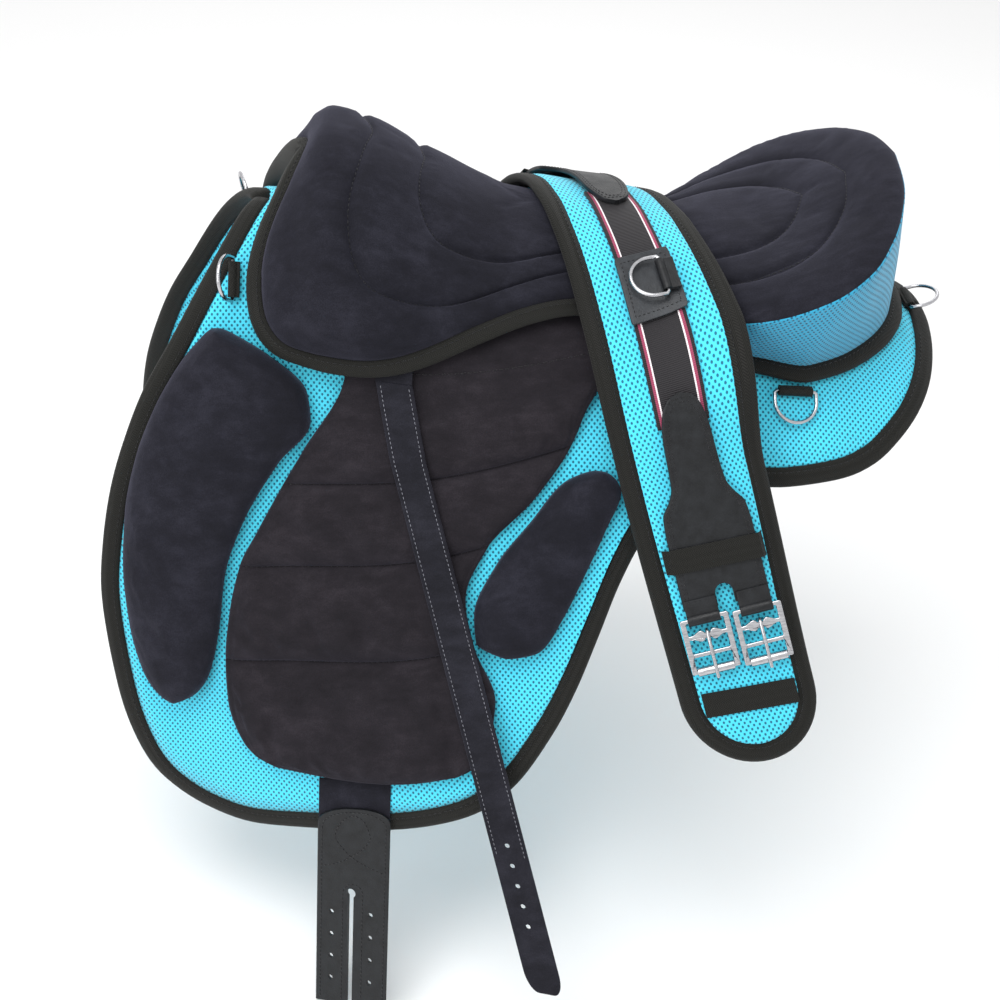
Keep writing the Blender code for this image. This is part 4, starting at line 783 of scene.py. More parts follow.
def suede(name, dark, middle, light, sheen):
    material, tree, shader = new_material(name, {
        "Roughness": 0.88, "IOR": 1.5, "Specular IOR Level": 0.12,
        "Sheen Weight": sheen, "Sheen Roughness": 0.45, "Sheen Tint": hex_colour("#8E8EA6"),
    })
    at = add_node(tree, "ShaderNodeTexCoord").outputs["Object"]
    clouds = add_node(tree, "ShaderNodeTexNoise", {
        "Vector": at, "Scale": 1 / NAP_CLOUD, "Detail": 4.0, "Roughness": 0.6, "Distortion": 0.6,
    }).outputs[0]
    drawn = add_node(tree, "ShaderNodeMapping", {
        "Vector": at, "Rotation": (0.3, 0.5, 0.7), "Scale": [1 / size for size in BRUSH_STROKE],
    }).outputs[0]
    strokes = add_node(tree, "ShaderNodeTexNoise", {
        "Vector": drawn, "Scale": 1.0, "Detail": 5.0, "Roughness": 0.65,
    }).outputs[0]
    fibres = add_node(tree, "ShaderNodeTexNoise", {
        "Vector": at, "Scale": 1 / NAP_FIBRE, "Detail": 2.0,
    }).outputs[0]
    cloudy = math_chain(tree, clouds, ("MULTIPLY", 0.4))
    fine = math_chain(tree, fibres, ("MULTIPLY", 0.35))
    nap = math_chain(tree, strokes, ("MULTIPLY", 0.35), ("ADD", cloudy), ("ADD", fine), ("SUBTRACT", 0.05))
    colour = colour_ramp(tree, nap, (0.34, dark), (0.5, middle), (0.68, light))
    tree.links.new(colour, shader.inputs["Base Color"])
    relief(tree, shader, fibres, 0.25 * MM)
    return material


MATERIALS["suede"] = (suede("brushed microfibre suede", "#131318", "#1B1B22", "#2A2A33", 0.3), "suede")
MATERIALS["pad suede"] = (suede("brushed suede of the flap", "#171518", "#201D21", "#2F2B30", 0.3), "suede")
print("suede: nap in clouds of", NAP_CLOUD, "m")

# %% [markdown]
# ### Webbing, elastic and felt
#
# The bindings, tabs and keepers are black polypropylene webbing. It is woven in a herringbone, so
# slanting ribs meet in a V down the middle of each stripe. The ribs are 1.7 mm apart here, a
# little coarser than the real weave, so that they show at the size of the picture.

# %% Webbing
RIB = 1.7 * MM
CHEVRON = 6.0 * MM
WEBBING_FUZZ = 1.111 * MM


def herringbone(name, dark, light):
    material, tree, shader = new_material(name, {
        "Roughness": 0.62, "IOR": 1.49, "Specular IOR Level": 0.2, "Sheen Weight": 0.05,
    })
    uv = add_node(tree, "ShaderNodeAttribute", attribute_name="cloth").outputs["Vector"]
    u, v, _ = add_node(tree, "ShaderNodeSeparateXYZ", {0: uv}).outputs
    zigzag = math_chain(tree, u, ("PINGPONG", CHEVRON / 2))
    turns = math_chain(tree, v, ("ADD", zigzag), ("MULTIPLY", 2 * math.pi / RIB))
    ribs = math_chain(tree, turns, ("SINE",), ("MULTIPLY", 0.5), ("ADD", 0.5))
    at = add_node(tree, "ShaderNodeTexCoord").outputs["Object"]
    fuzz = add_node(tree, "ShaderNodeTexNoise", {
        "Vector": at, "Scale": 1 / WEBBING_FUZZ, "Detail": 2.0,
    }).outputs[0]
    # The ribs are coloured lighter on their crests and darker in their grooves, painted shade that follows
    # the bump; the fuzz is the yarn's own uneven tone.
    woven = math_chain(tree, ribs, ("MULTIPLY", 0.8))
    painted_rib_shade_and_fuzz = math_chain(tree, fuzz, ("MULTIPLY", 0.4), ("ADD", woven), ("SUBTRACT", 0.1))
    tree.links.new(colour_ramp(tree, painted_rib_shade_and_fuzz, (0.1, dark), (0.95, light)), shader.inputs["Base Color"])
    relief(tree, shader, painted_rib_shade_and_fuzz, 0.35 * MM)
    return material


MATERIALS["webbing"] = (herringbone("woven polypropylene webbing", "#080807", "#20201C"), "webbing")
print("webbing: ribs", RIB, "m apart")

# %% Felt and thread
FELT_LUMP = 2.381 * MM
THREAD_STRAND = 0.6667 * MM


def plain_cloth(name, dark, light, roughness, grain, depth):
    """Felt and thread: one colour, broken by its fibres."""
    material, tree, shader = new_material(name, {
        "Roughness": roughness, "IOR": 1.5, "Specular IOR Level": 0.15, "Sheen Weight": 0.2,
    })
    at = add_node(tree, "ShaderNodeTexCoord").outputs["Object"]
    fibres = add_node(tree, "ShaderNodeTexNoise", {
        "Vector": at, "Scale": 1 / grain, "Detail": 4.0,
    }).outputs[0]
    tree.links.new(colour_ramp(tree, fibres, (0.3, dark), (0.7, light)), shader.inputs["Base Color"])
    relief(tree, shader, fibres, depth)
    return material


PLAIN_CLOTHS = {
    "felt": ("pressed wool felt", "#1A1A1B", "#2E2E30", 0.95, FELT_LUMP, 0.5 * MM, "felt"),
    "black thread": ("black polyester thread", "#08080A", "#16161A", 0.5, THREAD_STRAND, 0.1 * MM, "suede"),
    "pale thread": ("pale waxed thread", "#5E6066", "#9496A0", 0.5, THREAD_STRAND, 0.1 * MM, "leather"),
}
for finish, (*settings, slot_name) in PLAIN_CLOTHS.items():
    MATERIALS[finish] = (plain_cloth(*settings), slot_name)
print("plain cloths:", ", ".join(PLAIN_CLOTHS))

# %% Elastic
ELASTIC_RIB = 1.2 * MM


def elastic_band(name, width):
    """Woven elastic: black ribs across, with a white and red stripe inside each edge."""
    material, tree, shader = new_material(name, {
        "Roughness": 0.55, "IOR": 1.5, "Specular IOR Level": 0.2, "Sheen Weight": 0.1,
    })
    uv = add_node(tree, "ShaderNodeAttribute", attribute_name="cloth").outputs["Vector"]
    u, v, _ = add_node(tree, "ShaderNodeSeparateXYZ", {0: uv}).outputs
    from_middle = math_chain(tree, u, ("ABSOLUTE",), ("MULTIPLY", 2 / width))
    stripes = add_node(tree, "ShaderNodeValToRGB", {"Fac": from_middle})
    stripes.color_ramp.interpolation = "CONSTANT"
    marks = stripes.color_ramp.elements
    for at, code in ((0.0, "#232124"), (0.70, "#EDE3E6"), (0.76, "#97405B"), (0.87, "#221C1F")):
        mark = marks[0] if at == 0.0 else marks.new(at)
        mark.position = at
        mark.color = hex_colour(code)
    marks.remove(marks[-1])
    ribs = math_chain(tree, v, ("MULTIPLY", 2 * math.pi / ELASTIC_RIB), ("SINE",))
    weave = math_chain(tree, ribs, ("MULTIPLY", 0.5), ("ADD", 0.5))
    # The ribs scale the stripes' colour, darker in their grooves and lighter on their crests: painted shade
    # and painted highlight that follow the bump.
    shade = math_chain(tree, weave, ("MULTIPLY", 0.3), ("ADD", 0.8))
    striped = {0: stripes.outputs[0], "Scale": shade}
    tinted = add_node(tree, "ShaderNodeVectorMath", striped, operation="SCALE")
    tree.links.new(tinted.outputs[0], shader.inputs["Base Color"])
    relief(tree, shader, weave, 0.2 * MM)
    return material


# %% [markdown]
# ### Leather
#
# Bridle leather is dyed through and then waxed. It is darkest and smoothest where the grain is
# pressed, has a fine pebble about a millimetre across, and is lighter and duller on the raised
# spots. The stirrup leathers show their flesh side, whose nap is made like suede.

# %% Leather
PEBBLE = 1.0 * MM
WRINKLE = 8.333 * MM


def leather(name, dark, light, roughness):
    material, tree, shader = new_material(name, {
        "IOR": 1.5, "Specular IOR Level": 0.3, "Roughness": roughness,
    })
    at = add_node(tree, "ShaderNodeTexCoord").outputs["Object"]
    pebble = add_node(tree, "ShaderNodeTexVoronoi", {"Vector": at, "Scale": 1 / PEBBLE, "Randomness": 1.0},
                      feature="F1").outputs["Distance"]
    wrinkle = add_node(tree, "ShaderNodeTexNoise", {
        "Vector": at, "Scale": 1 / WRINKLE, "Detail": 5.0,
    }).outputs[0]
    pebbled = math_chain(tree, pebble, ("MULTIPLY", 0.25))
    tone = math_chain(tree, wrinkle, ("MULTIPLY", 0.8), ("ADD", pebbled))
    tree.links.new(colour_ramp(tree, tone, (0.3, dark), (0.75, light)), shader.inputs["Base Color"])
    rough = add_node(tree, "ShaderNodeMapRange", {
        "Value": tone, 1: 0.3, 2: 0.8, 3: roughness - 0.06, 4: roughness + 0.12,
    })
    tree.links.new(rough.outputs[0], shader.inputs["Roughness"])
    relief(tree, shader, math_chain(tree, pebble, ("MULTIPLY", 0.5), ("ADD", wrinkle)), 0.22 * MM)
    return material


MATERIALS["leather"] = (leather("waxed bridle leather", "#0D0E10", "#1E2023", 0.40), "leather")
# The patch is the same bridle leather drawn lighter: a painted highlight from the lamp above.
MATERIALS["patch leather with painted highlight"] = (
    leather("grey bridle leather of the patch", "#222427", "#383B3F", 0.42), "leather",
)
MATERIALS["strap leather"] = (
    suede("flesh side of strap leather", "#141418", "#1E1E24", "#2C2C34", 0.28), "leather",
)
print("leather: pebbles", PEBBLE, "m across")

# %% [markdown]
# ### Steel
#
# The buckles and dees are polished, nickel-plated steel: a metal with a low roughness that is
# broken by hairline scratches, so its highlights have soft ends.

# %% Steel
SCRATCH = (11.11 * MM, 0.625 * MM, 1.4286 * MM)


def polished_steel(name):
    material, tree, shader = new_material(name, {"Metallic": 1.0, "Roughness": 0.2})
    at = add_node(tree, "ShaderNodeTexCoord").outputs["Object"]
    drawn = add_node(tree, "ShaderNodeMapping", {
        "Vector": at, "Rotation": (0.2, 0.1, 0.6), "Scale": [1 / size for size in SCRATCH],
    }).outputs[0]
    scratch = add_node(tree, "ShaderNodeTexNoise", {"Vector": drawn, "Scale": 1.0, "Detail": 3.0}).outputs[0]
    rough = add_node(tree, "ShaderNodeMapRange", {"Value": scratch, 1: 0.3, 2: 0.75, 3: 0.13, 4: 0.34})
    tree.links.new(rough.outputs[0], shader.inputs["Roughness"])
    colour = colour_ramp(tree, scratch, (0.3, "#ABABAF"), (0.7, "#C9C9CC"))
    tree.links.new(colour, shader.inputs["Base Color"])
    relief(tree, shader, scratch, 0.02 * MM)
    return material


MATERIALS["steel"] = (polished_steel("polished nickel-plated steel"), "steel")
print("finishes so far:", ", ".join(MATERIALS))

# %% [markdown]
# ## The foam panels
#
# Each side of the saddle is one foam panel covered in mesh, cut like a deep flap with a short lobe
# behind it. A grid is laid on it like a fan: its columns run from the ridge out to the edge, so the
# rim of the grid is the cut edge of the foam, and the face sinks a little as it nears the binding.

# %% Panels
PANEL_EDGE = np.array([
    (-196, 1), (-204, 22), (-219, 57), (-235, 90), (-253, 125), (-274, 163), (-290, 203),
    (-302, 243), (-310, 289), (-313, 335), (-307, 394), (-297, 444), (-280, 484), (-257, 507),
    (-227, 521), (-190, 527), (-145, 521), (-77, 501), (-18, 476), (15, 446), (41, 403),
    (58, 365), (73, 322), (88, 278), (106, 240), (130, 212), (166, 198), (210, 193),
    (251, 181), (276, 166), (294, 147), (312, 121), (325, 92), (333, 60), (337, 28), (338, 1),
]) * MM
PANEL_THICK = 12 * MM
PANEL_EDGE_THICK = 7 * MM
PANEL_BINDING = 14 * MM
BINDING_THICK = 9 * MM
BINDING_LAP = 1.0 * MM
SPINE_HALF_GAP = 1.0 * MM
EDGE_TAPER = 20 * MM
EDGE_PUFF = 1.8 * MM
EDGE_PUFF_WIDTH = 24 * MM
EDGE_PUFF_FROM = 0.15
GAP = 0.4 * MM
LAYER = 1.2 * MM
RIDGE_LINES = np.array([1, 14, 34, 56, 80, 105, 132, 162]) * MM
FLAP_ROWS = (0, 0.36, 0.72, 1)


def panel_edge(extra=0.0, count=200):
    line = inwards(path(PANEL_EDGE, count), extra)
    line[:, 1] = np.maximum(line[:, 1], SPINE_HALF_GAP)
    return line


def panel_fan(a, row, edge):
    """x, v and the distance to the rim, for a round the edge and row from the ridge to the edge."""
    rim = edge[np.rint(a * (len(edge) - 1)).astype(int)]
    spine_x = edge[0, 0] + (edge[-1, 0] - edge[0, 0]) * a
    lines = len(RIDGE_LINES)
    rows = lines + len(FLAP_ROWS) - 2
    last = np.minimum(RIDGE_LINES[-1], rim[:, 1] * lines / (rows + 1))
    even = SPINE_HALF_GAP + (last - SPINE_HALF_GAP) * row / (lines - 1)
    on_line = np.interp(row, range(lines), RIDGE_LINES)
    upper = np.where(last >= RIDGE_LINES[-1], on_line, np.minimum(on_line, even))
    lower = last + (rim[:, 1] - last) * np.interp(row - lines + 1, range(len(FLAP_ROWS)), FLAP_ROWS)
    v = np.maximum(np.where(row <= lines - 1, upper, lower), SPINE_HALF_GAP)
    share = (v - SPINE_HALF_GAP) / np.maximum(rim[:, 1] - SPINE_HALF_GAP, 1 * MM)
    share = np.where(rim[:, 1] <= SPINE_HALF_GAP + 1 * MM, row / rows, share)
    x = spine_x + (rim[:, 0] - spine_x) * share
    return x, v, np.hypot(rim[:, 0] - x, rim[:, 1] - v)


def on_side(side):
    return lambda x, v, h: place(x, side * v, h)


def make_panel(word, side):
    edge = panel_edge(PANEL_BINDING + GAP)
    taper = (PANEL_THICK - PANEL_EDGE_THICK) / 2
    ridge_rows = len(RIDGE_LINES) - 1
    all_rows = ridge_rows + len(FLAP_ROWS) - 1
    rows = np.interp(np.linspace(0, 1, 46), [0, 0.55, 1], [0, ridge_rows, all_rows])

    def outer(a, b):
        x, v, away = panel_fan(a, b, edge)
        puff = EDGE_PUFF * np.sin(math.pi * np.clip(away / EDGE_PUFF_WIDTH, 0, 1)) * (v > EDGE_PUFF_FROM)
        return place(x, side * v, puff - taper * (1 - smooth(away / EDGE_TAPER)))

    def inner(a, b):
        x, v, away = panel_fan(a, b, edge)
        return place(x, side * v, taper * (1 - smooth(away / EDGE_TAPER)) - PANEL_THICK)

    def pattern(a, b):
        x, v, _ = panel_fan(a, b, edge)
        return np.stack([x, v], axis=1)

    panel = skin(f"{word}_mesh_panel", np.linspace(0, 1, len(edge)), rows, outer, inner, pattern)
    dressed(panel, "saddle", "air mesh", replaces=(f"{word}_base_panel",))
    line = panel_edge()
    middle = -PANEL_THICK / 2
    binding = rolled_edge(
        f"{word}_edge_binding", line, PANEL_BINDING + BINDING_LAP, middle - BINDING_THICK / 2,
        middle + BINDING_THICK / 2 + GAP, on_side(side), least_v=SPINE_HALF_GAP / 2,
    )
    dressed(binding, "saddle", "webbing", replaces=(f"{word}_panel_binding",))
    seam = inwards(line[6:-6], PANEL_BINDING * 0.78)
    lifted = place(seam[:, 0], side * seam[:, 1], middle + BINDING_THICK / 2 + 0.5 * MM)
    sew(f"{word}_edge_stitching", [lifted], "saddle", "black thread", width=0.7 * MM)
    print(word, "panel:", len(panel.data.polygons), "faces")


for word, side in SIDES.items():
    make_panel(word, side)

# %% [markdown]
# ## Under the saddle
#
# Two long foam cushions in felt carry the saddle on either side of the spine, and a strip of
# webbing joins the panels down the middle. Neither shows from above, but they do from below, so
# they get their true forms: the cushions are rounded over all their edges.

# %% Under the saddle
UNDER_THICK = 26 * MM
UNDER_X = (-165 * MM, 300 * MM)
UNDER_IN = 26 * MM
UNDER_OUT = np.array([85, 128, 150, 150, 142, 120, 75]) * MM
SPINE_X = (-170 * MM, 318 * MM)
SPINE_WIDTH = 36 * MM
SPINE_THICK = 2 * MM


def make_under_panel(word, side):
    top = -PANEL_THICK - LAYER

    def ground(a, b):
        outer_v = between(a, np.linspace(0, 1, len(UNDER_OUT)), UNDER_OUT)
        return UNDER_X[0] + (UNDER_X[1] - UNDER_X[0]) * a, UNDER_IN + (outer_v - UNDER_IN) * b

    def outer(a, b):
        x, v = ground(a, b)
        return place(x, side * v, top)

    def inner(a, b):
        x, v = ground(a, b)
        round_off = bump(np.minimum(a, 1 - a) / 0.12) * bump(np.minimum(b, 1 - b) / 0.25)
        return place(x, side * v, top - UNDER_THICK * (0.35 + 0.65 * round_off))

    pad = skin(f"{word}_under_cushion", spaced(60), spaced(26), outer, inner)
    dressed(pad, "saddle", "felt", replaces=(f"{word}_under_panel",))


def make_spine_strip():
    low = -PANEL_THICK - LAYER - SPINE_THICK
    strip = band("spine_strip", oblong(SPINE_WIDTH, SPINE_THICK, 0.6 * MM, 10), np.linspace(*SPINE_X, 60),
                 lambda s, w, h: place(s, w, low + h))
    dressed(strip, "saddle", "webbing", replaces=("spine_webbing",))


for word, side in SIDES.items():
    make_under_panel(word, side)
make_spine_strip()
print("spine strip", round(SPINE_X[1] - SPINE_X[0], 3), "m long")

# %% [markdown]
# ## The seat
#
# The seat is a quilted suede cushion that lies on the panels in front and climbs to the cantle
# behind. Two seams run round it, one inside the other, and pull the suede down. Its grid is a fan
# round a short line on the ridge, one turn for both sides, so that the seams are simply two of
# its rows.

# %% Seat
SEAT_EDGE = np.array([
    (-162, 0, 46), (-176, 23, 36), (-190, 54, 24), (-195, 83, 18), (-190, 112, 18),
    (-174, 132, 18), (-149, 140, 18), (-117, 142, 18), (-89, 138, 18), (-61, 128, 18),
    (-22, 110, 18), (15, 95, 18), (50, 87, 18), (100, 87, 20), (130, 91, 31), (150, 95, 45),
    (170, 99, 61), (190, 100, 76), (210, 98, 89), (230, 93, 99), (250, 83, 107), (262, 72, 111),
    (274, 56, 115), (284, 32, 119), (289, 0, 122),
]) * MM
SEAT_RIDGE_X = np.array([-195, -176, -158, -150, -136, -109, -77, -51, -24, 0, 60, 110, 140, 158,
                         181, 200, 219, 235, 250, 268, 289]) * MM
SEAT_RIDGE = np.array([24, 34, 46, 55, 64, 62, 53, 45, 35, 29, 25, 27, 34, 40,
                       47, 55, 67, 80, 92, 110, 122]) * MM
GUSSET_FOOT = np.array([(120, 92), (150, 108), (190, 113), (215, 115), (232, 111), (261, 96),
                        (290, 70), (309, 38), (317, 0)]) * MM
SEAT_BINDING = 11 * MM
SEAT_EDGE_UNDER = 13 * MM
SEAT_POCKET = 17 * MM
SEAT_POCKET_REACH = 72 * MM
SEAT_PAD_THICK = 26 * MM
SEAT_RIM_THICK = 5 * MM
SEAT_SWELL = 2.4 * MM
SEAT_SWELL_OVER = 16 * MM
SEAT_ROLL = 4.4 * MM
SEAT_ROLL_OVER = 9 * MM
UNDER_RIDGE = 30 * MM
SPINE_FRONT = 3 * MM
SPINE_BACK = 169 * MM
CHANNEL_DEPTH = 4.8 * MM
CHANNEL_AT_RIDGE = 0.35
CHANNEL_WIDTH = 8 * MM
SEAMS = (0.70, 0.45)
SEAM_STEPS = (-0.02, -0.01, 0, 0.01, 0.02)
SEAT_COUNT = 130
CANTLE_FROM = 105 * MM
CANTLE_OVER = 45 * MM
PADS_FROM = -165 * MM
PADS_OVER = 30 * MM
FOOT_LIFT = 3 * MM


def towards_cantle(x, over=CANTLE_OVER):
    """0 where the seat lies on the panels, 1 where it climbs to the cantle."""
    return smooth((x - CANTLE_FROM) / over)


def over_pads(x):
    """1 along the stretch where the seat's rim lies on the flap pads."""
    return smooth((x - PADS_FROM) / PADS_OVER) * smooth((CANTLE_FROM - x) / PADS_OVER)


def seat_edge(extra=0.0):
    line = path(SEAT_EDGE, SEAT_COUNT)
    moved = inwards(line, extra)
    moved[0, 1] = moved[-1, 1] = 0
    keep = towards_cantle(line[:, 0], 40 * MM)[:, None]
    return moved * (1 - keep) + line * keep


def seat_height(x, v, edge):
    lower = edge[np.argmin(edge[:, 0]):]
    edge_v = np.interp(x, lower[:, 0], lower[:, 1])
    edge_h = np.interp(x, lower[:, 0], lower[:, 2])
    ratio = np.minimum(np.abs(v) / np.maximum(edge_v, 1 * MM), 1)
    return between(x, SEAT_RIDGE_X, SEAT_RIDGE) * (1 - ratio**2) + edge_h * ratio**2


def seat_fan(a, b, edge):
    """a goes 0 to 1 along the near side and 1 to 2 back along the off side."""
    half = np.where(a <= 1, a, 2 - a)
    rim = edge[np.rint(half * (len(edge) - 1)).astype(int)]
    spine_x = SPINE_FRONT + (SPINE_BACK - SPINE_FRONT) * half
    x = spine_x + (rim[:, 0] - spine_x) * b
    reach = np.hypot(rim[:, 0] - spine_x, rim[:, 1])
    return x, rim[:, 1] * b, rim, reach, spine_x, np.where(a <= 1, 1, -1)


def seam_dip(distance):
    """A stitched channel: a narrow cut with soft shoulders."""
    return CHANNEL_DEPTH * (0.4 * np.exp(-((distance / (CHANNEL_WIDTH / 2)) ** 2))
                            + 0.6 * np.exp(-np.abs(distance) / (1.8 * MM)))


def seat_top(a, b, edge):
    x, v, rim, reach, _, side = seat_fan(a, b, edge)
    h = seat_height(x, v, edge)
    full = CHANNEL_AT_RIDGE + (1 - CHANNEL_AT_RIDGE) * smooth(v / (45 * MM))
    for at in SEAMS:
        h = h - seam_dip((b - at) * reach) * full
    from_rim = (1 - b) * reach
    swell = SEAT_SWELL * smooth(from_rim / SEAT_SWELL_OVER)
    roll = SEAT_ROLL * (1 - bump(from_rim / SEAT_ROLL_OVER))
    return place(x, side * v, h + swell - roll)


def seat_under(a, b, edge):
    x, v, rim, reach, spine_x, side = seat_fan(a, b, edge)
    from_rim = (1 - b) * reach
    into = smooth((from_rim - 2 * MM) / (14 * MM))
    lifted = SEAT_EDGE_UNDER + (SEAT_POCKET * into - SEAT_EDGE_UNDER) * into
    front = LAYER + (lifted - LAYER) * smooth((SEAT_POCKET_REACH - from_rim) / (12 * MM))
    on_pad = over_pads(x)
    front = (LAYER + 4 * MM) * (1 - on_pad) + front * on_pad
    front = np.where(v < UNDER_RIDGE, np.minimum(front, LAYER + 4 * MM), front)
    spine_h = np.maximum(seat_height(spine_x, 0 * spine_x, edge) - SEAT_PAD_THICK, LAYER)
    rim_h = seat_height(rim[:, 0], rim[:, 1], edge) - SEAT_RIM_THICK
    share = towards_cantle(x)
    return x, v, side, front * (1 - share) + (spine_h + (rim_h - spine_h) * b) * share


SEAT_LINE = seat_edge(SEAT_BINDING + GAP)
SEAM_ROWS = [at + step for at in SEAMS for step in SEAM_STEPS]
SEAT_ROWS = np.unique(np.concatenate([spaced(34, 0.7), SEAM_ROWS]))


def seat_bottom(a, b):
    x, v, side, h = seat_under(a, b, SEAT_LINE)
    return place(x, side * v, h)


seat = skin("seat_cushion_cover", np.linspace(0, 2, 2 * SEAT_COUNT + 1), SEAT_ROWS,
            lambda a, b: seat_top(a, b, SEAT_LINE), seat_bottom)


def seat_held(a, b):
    seams = [1 - smooth((np.abs(b - at) - 0.012) / 0.02) for at in SEAMS]
    return np.maximum.reduce([*seams, smooth((b - 0.90) / 0.06)])


stuffed(seat, "seat", 1, seat_held, 2.2 * MM, 0.015)
dressed(seat, "saddle", "suede", replaces=("seat_cushion",))
print("seat:", len(seat.data.polygons), "faces")


def seat_seam(at):
    a = np.linspace(0, 2, 600)
    x, v, _, _, _, side = seat_fan(a, np.full_like(a, at), SEAT_LINE)
    return on_surface(seat, x, v * side, 1)


sew("seat_stitching", [seat_seam(at) for at in SEAMS], "saddle", "black thread", width=0.65 * MM)

# %% [markdown]
# ## The gusset and the seat's binding
#
# Behind, a wall of the same mesh closes the wedge between the panels and the cantle, drawn darker
# and bluer as painted shade. One black binding runs round the whole seat: it wraps the cushion's rim
# in front, then drops and follows the foot of the gusset. Both are lofted between the same two lines,
# the seat's rim and the foot.

# %% Gusset
RISER_START = 135 * MM
GUSSET_CENTRE = np.array([190, 0]) * MM
GUSSET_SWELL = 1.6 * MM
GUSSET_THICK = 3.5 * MM


def gusset_foot(count):
    return path(np.column_stack([GUSSET_FOOT, 0 * GUSSET_FOOT[:, 0]]), count)


def both_sides(line):
    """A line that ends on the ridge, and back along the other side."""
    return np.vstack([line, line[-2::-1] * (1, -1, 1)])


def make_gusset():
    first = int(np.argmax(SEAT_LINE[:, 0] > RISER_START))
    rim = SEAT_LINE[first:]
    foot = inwards(gusset_foot(len(rim) - 1), SEAT_BINDING)
    foot[-1, 1] = 0
    rim, foot = both_sides(rim), both_sides(foot)
    top = seat_height(rim[:, 0], rim[:, 1], SEAT_LINE) - SEAT_RIM_THICK + 1.5 * MM
    length = travelled(rim[:, :2])

    def wall(a, b, inset):
        j = np.rint(a).astype(int)
        line = foot[j, :2] * (1 - b)[:, None] + rim[j, :2] * b[:, None]
        out = line - GUSSET_CENTRE
        out /= np.linalg.norm(out, axis=1)[:, None]
        line = line + out * (GUSSET_SWELL * np.sin(math.pi * b) - inset)[:, None]
        h = (LAYER + FOOT_LIFT) * (1 - b) + np.maximum(top[j], LAYER + FOOT_LIFT) * b
        return place(line[:, 0], line[:, 1], h)

    def pattern(a, b):
        j = np.rint(a).astype(int)
        return np.stack([length[j], b * np.maximum(top[j], 8 * MM)], axis=1)

    gusset = skin("cantle_gusset", np.arange(len(rim)), np.linspace(0, 1, 22),
                  lambda a, b: wall(a, b, 0), lambda a, b: wall(a, b, GUSSET_THICK), pattern)
    # The gusset's darker mesh colour is painted shade.
    dressed(gusset, "saddle", "gusset mesh with painted shade", replaces=("cantle_riser",))
    print("gusset:", len(gusset.data.polygons), "faces")


make_gusset()

# %% Seat binding
BINDING_DROPS = 100 * MM
RIM_TUCK = 2.6 * MM
RIM_BINDING_LEAST = 4 * MM


def make_seat_binding():
    edge = path(SEAT_EDGE, SEAT_COUNT)
    line = np.vstack([edge[edge[:, 0] < BINDING_DROPS], gusset_foot(60)[1:]])
    line[0, 1] = line[-1, 1] = 0
    share = towards_cantle(line[:, 0])
    low = LAYER + FOOT_LIFT + (SEAT_EDGE_UNDER - LAYER - FOOT_LIFT) * over_pads(line[:, 0])
    low = low * (1 - share) + LAYER * share
    on_rim = np.maximum(line[:, 2] - RIM_TUCK, low + RIM_BINDING_LEAST)
    high = np.where(share < 0.5, on_rim, low + BINDING_THICK)
    whole = both_sides(line)
    mirrored = [np.concatenate([values, values[-2::-1]]) for values in (low, high)]
    width = SEAT_BINDING + BINDING_LAP
    binding = rolled_edge("seat_edge_binding", whole, width, *mirrored, place, closed=True)
    dressed(binding, "saddle", "webbing", replaces=("seat_binding",))
    seam = inwards(whole, (SEAT_BINDING - GAP) * 0.8, closed=True)
    lifted = place(seam[:, 0], seam[:, 1], mirrored[1] + 0.3 * MM)
    sew("seat_edge_stitching", [lifted], "saddle", "black thread", width=0.7 * MM)
    print("seat binding:", round(float(travelled(whole[:, :2])[-1]), 3), "m round")


make_seat_binding()

# %% [markdown]
# ## The flap pad and the blocks
#
# On each flap lies a flat quilted pad, with a fat block in front of the rider's knee and a thinner
# one behind the thigh. Each is drawn between two edges that run down the flap. The pad's quilting
# is a row of seams that dip sharply at the thread and swell softly between.

# %% Pad outlines
PAD_LEFT = np.array([
    (0, -118, 116), (0.06, -121, 143), (0.22, -153, 206), (0.29, -167, 232), (0.38, -187, 271),
    (0.46, -201, 300), (0.58, -210, 344), (0.68, -213, 379), (0.80, -211, 415), (0.92, -199, 449),
    (0.97, -187, 461), (1, -172, 467),
])
PAD_RIGHT = np.array([
    (0, 72, 92), (0.06, 72, 112), (0.22, 54, 156), (0.29, 46, 178), (0.38, 20, 220),
    (0.46, -12, 258), (0.58, -28, 300), (0.68, -20, 338), (0.80, -3, 378), (0.92, -8, 418),
    (0.97, -20, 435), (1, -36, 443),
])
KNEE_LEFT = np.array([
    (0, -222, 114), (0.08, -240, 134), (0.18, -255, 157), (0.26, -265, 176), (0.40, -280, 215),
    (0.55, -290, 262), (0.70, -293, 310), (0.82, -290, 352), (0.92, -281, 393), (0.97, -272, 410),
    (1, -262, 418),
])
KNEE_RIGHT = np.array([
    (0, -212, 114), (0.08, -180, 133), (0.18, -150, 160), (0.26, -147, 182), (0.40, -171, 216),
    (0.55, -197, 262), (0.70, -213, 310), (0.82, -218, 355), (0.92, -226, 393), (0.97, -237, 411),
    (1, -248, 418),
])
THIGH_LEFT = np.array([
    (0, 62, 195), (0.1, 42, 206), (0.3, 19, 237), (0.55, -6, 273), (0.78, -21, 312),
    (0.93, -19, 334), (1, -8, 341),
])
THIGH_RIGHT = np.array([
    (0, 76, 196), (0.1, 84, 209), (0.3, 74, 238), (0.55, 60, 273), (0.78, 44, 310),
    (0.93, 29, 335), (1, 14, 342),
])
PAD_CHANNELS = (0.06, 0.29, 0.46, 0.68)
PAD_SAG = 8 * MM
PAD_THICK = 11 * MM
PAD_EDGE_THICK = 4.7 * MM
PAD_UNDER_SEAT = 0.1
PAD_TUCK = 18 * MM
PAD_SEAM_INSET = 5 * MM
KNEE_THICK = 24 * MM
THIGH_THICK = 19 * MM


def edge_point(table, share):
    return between(share, table[:, 0], table[:, 1]) * MM, between(share, table[:, 0], table[:, 2]) * MM


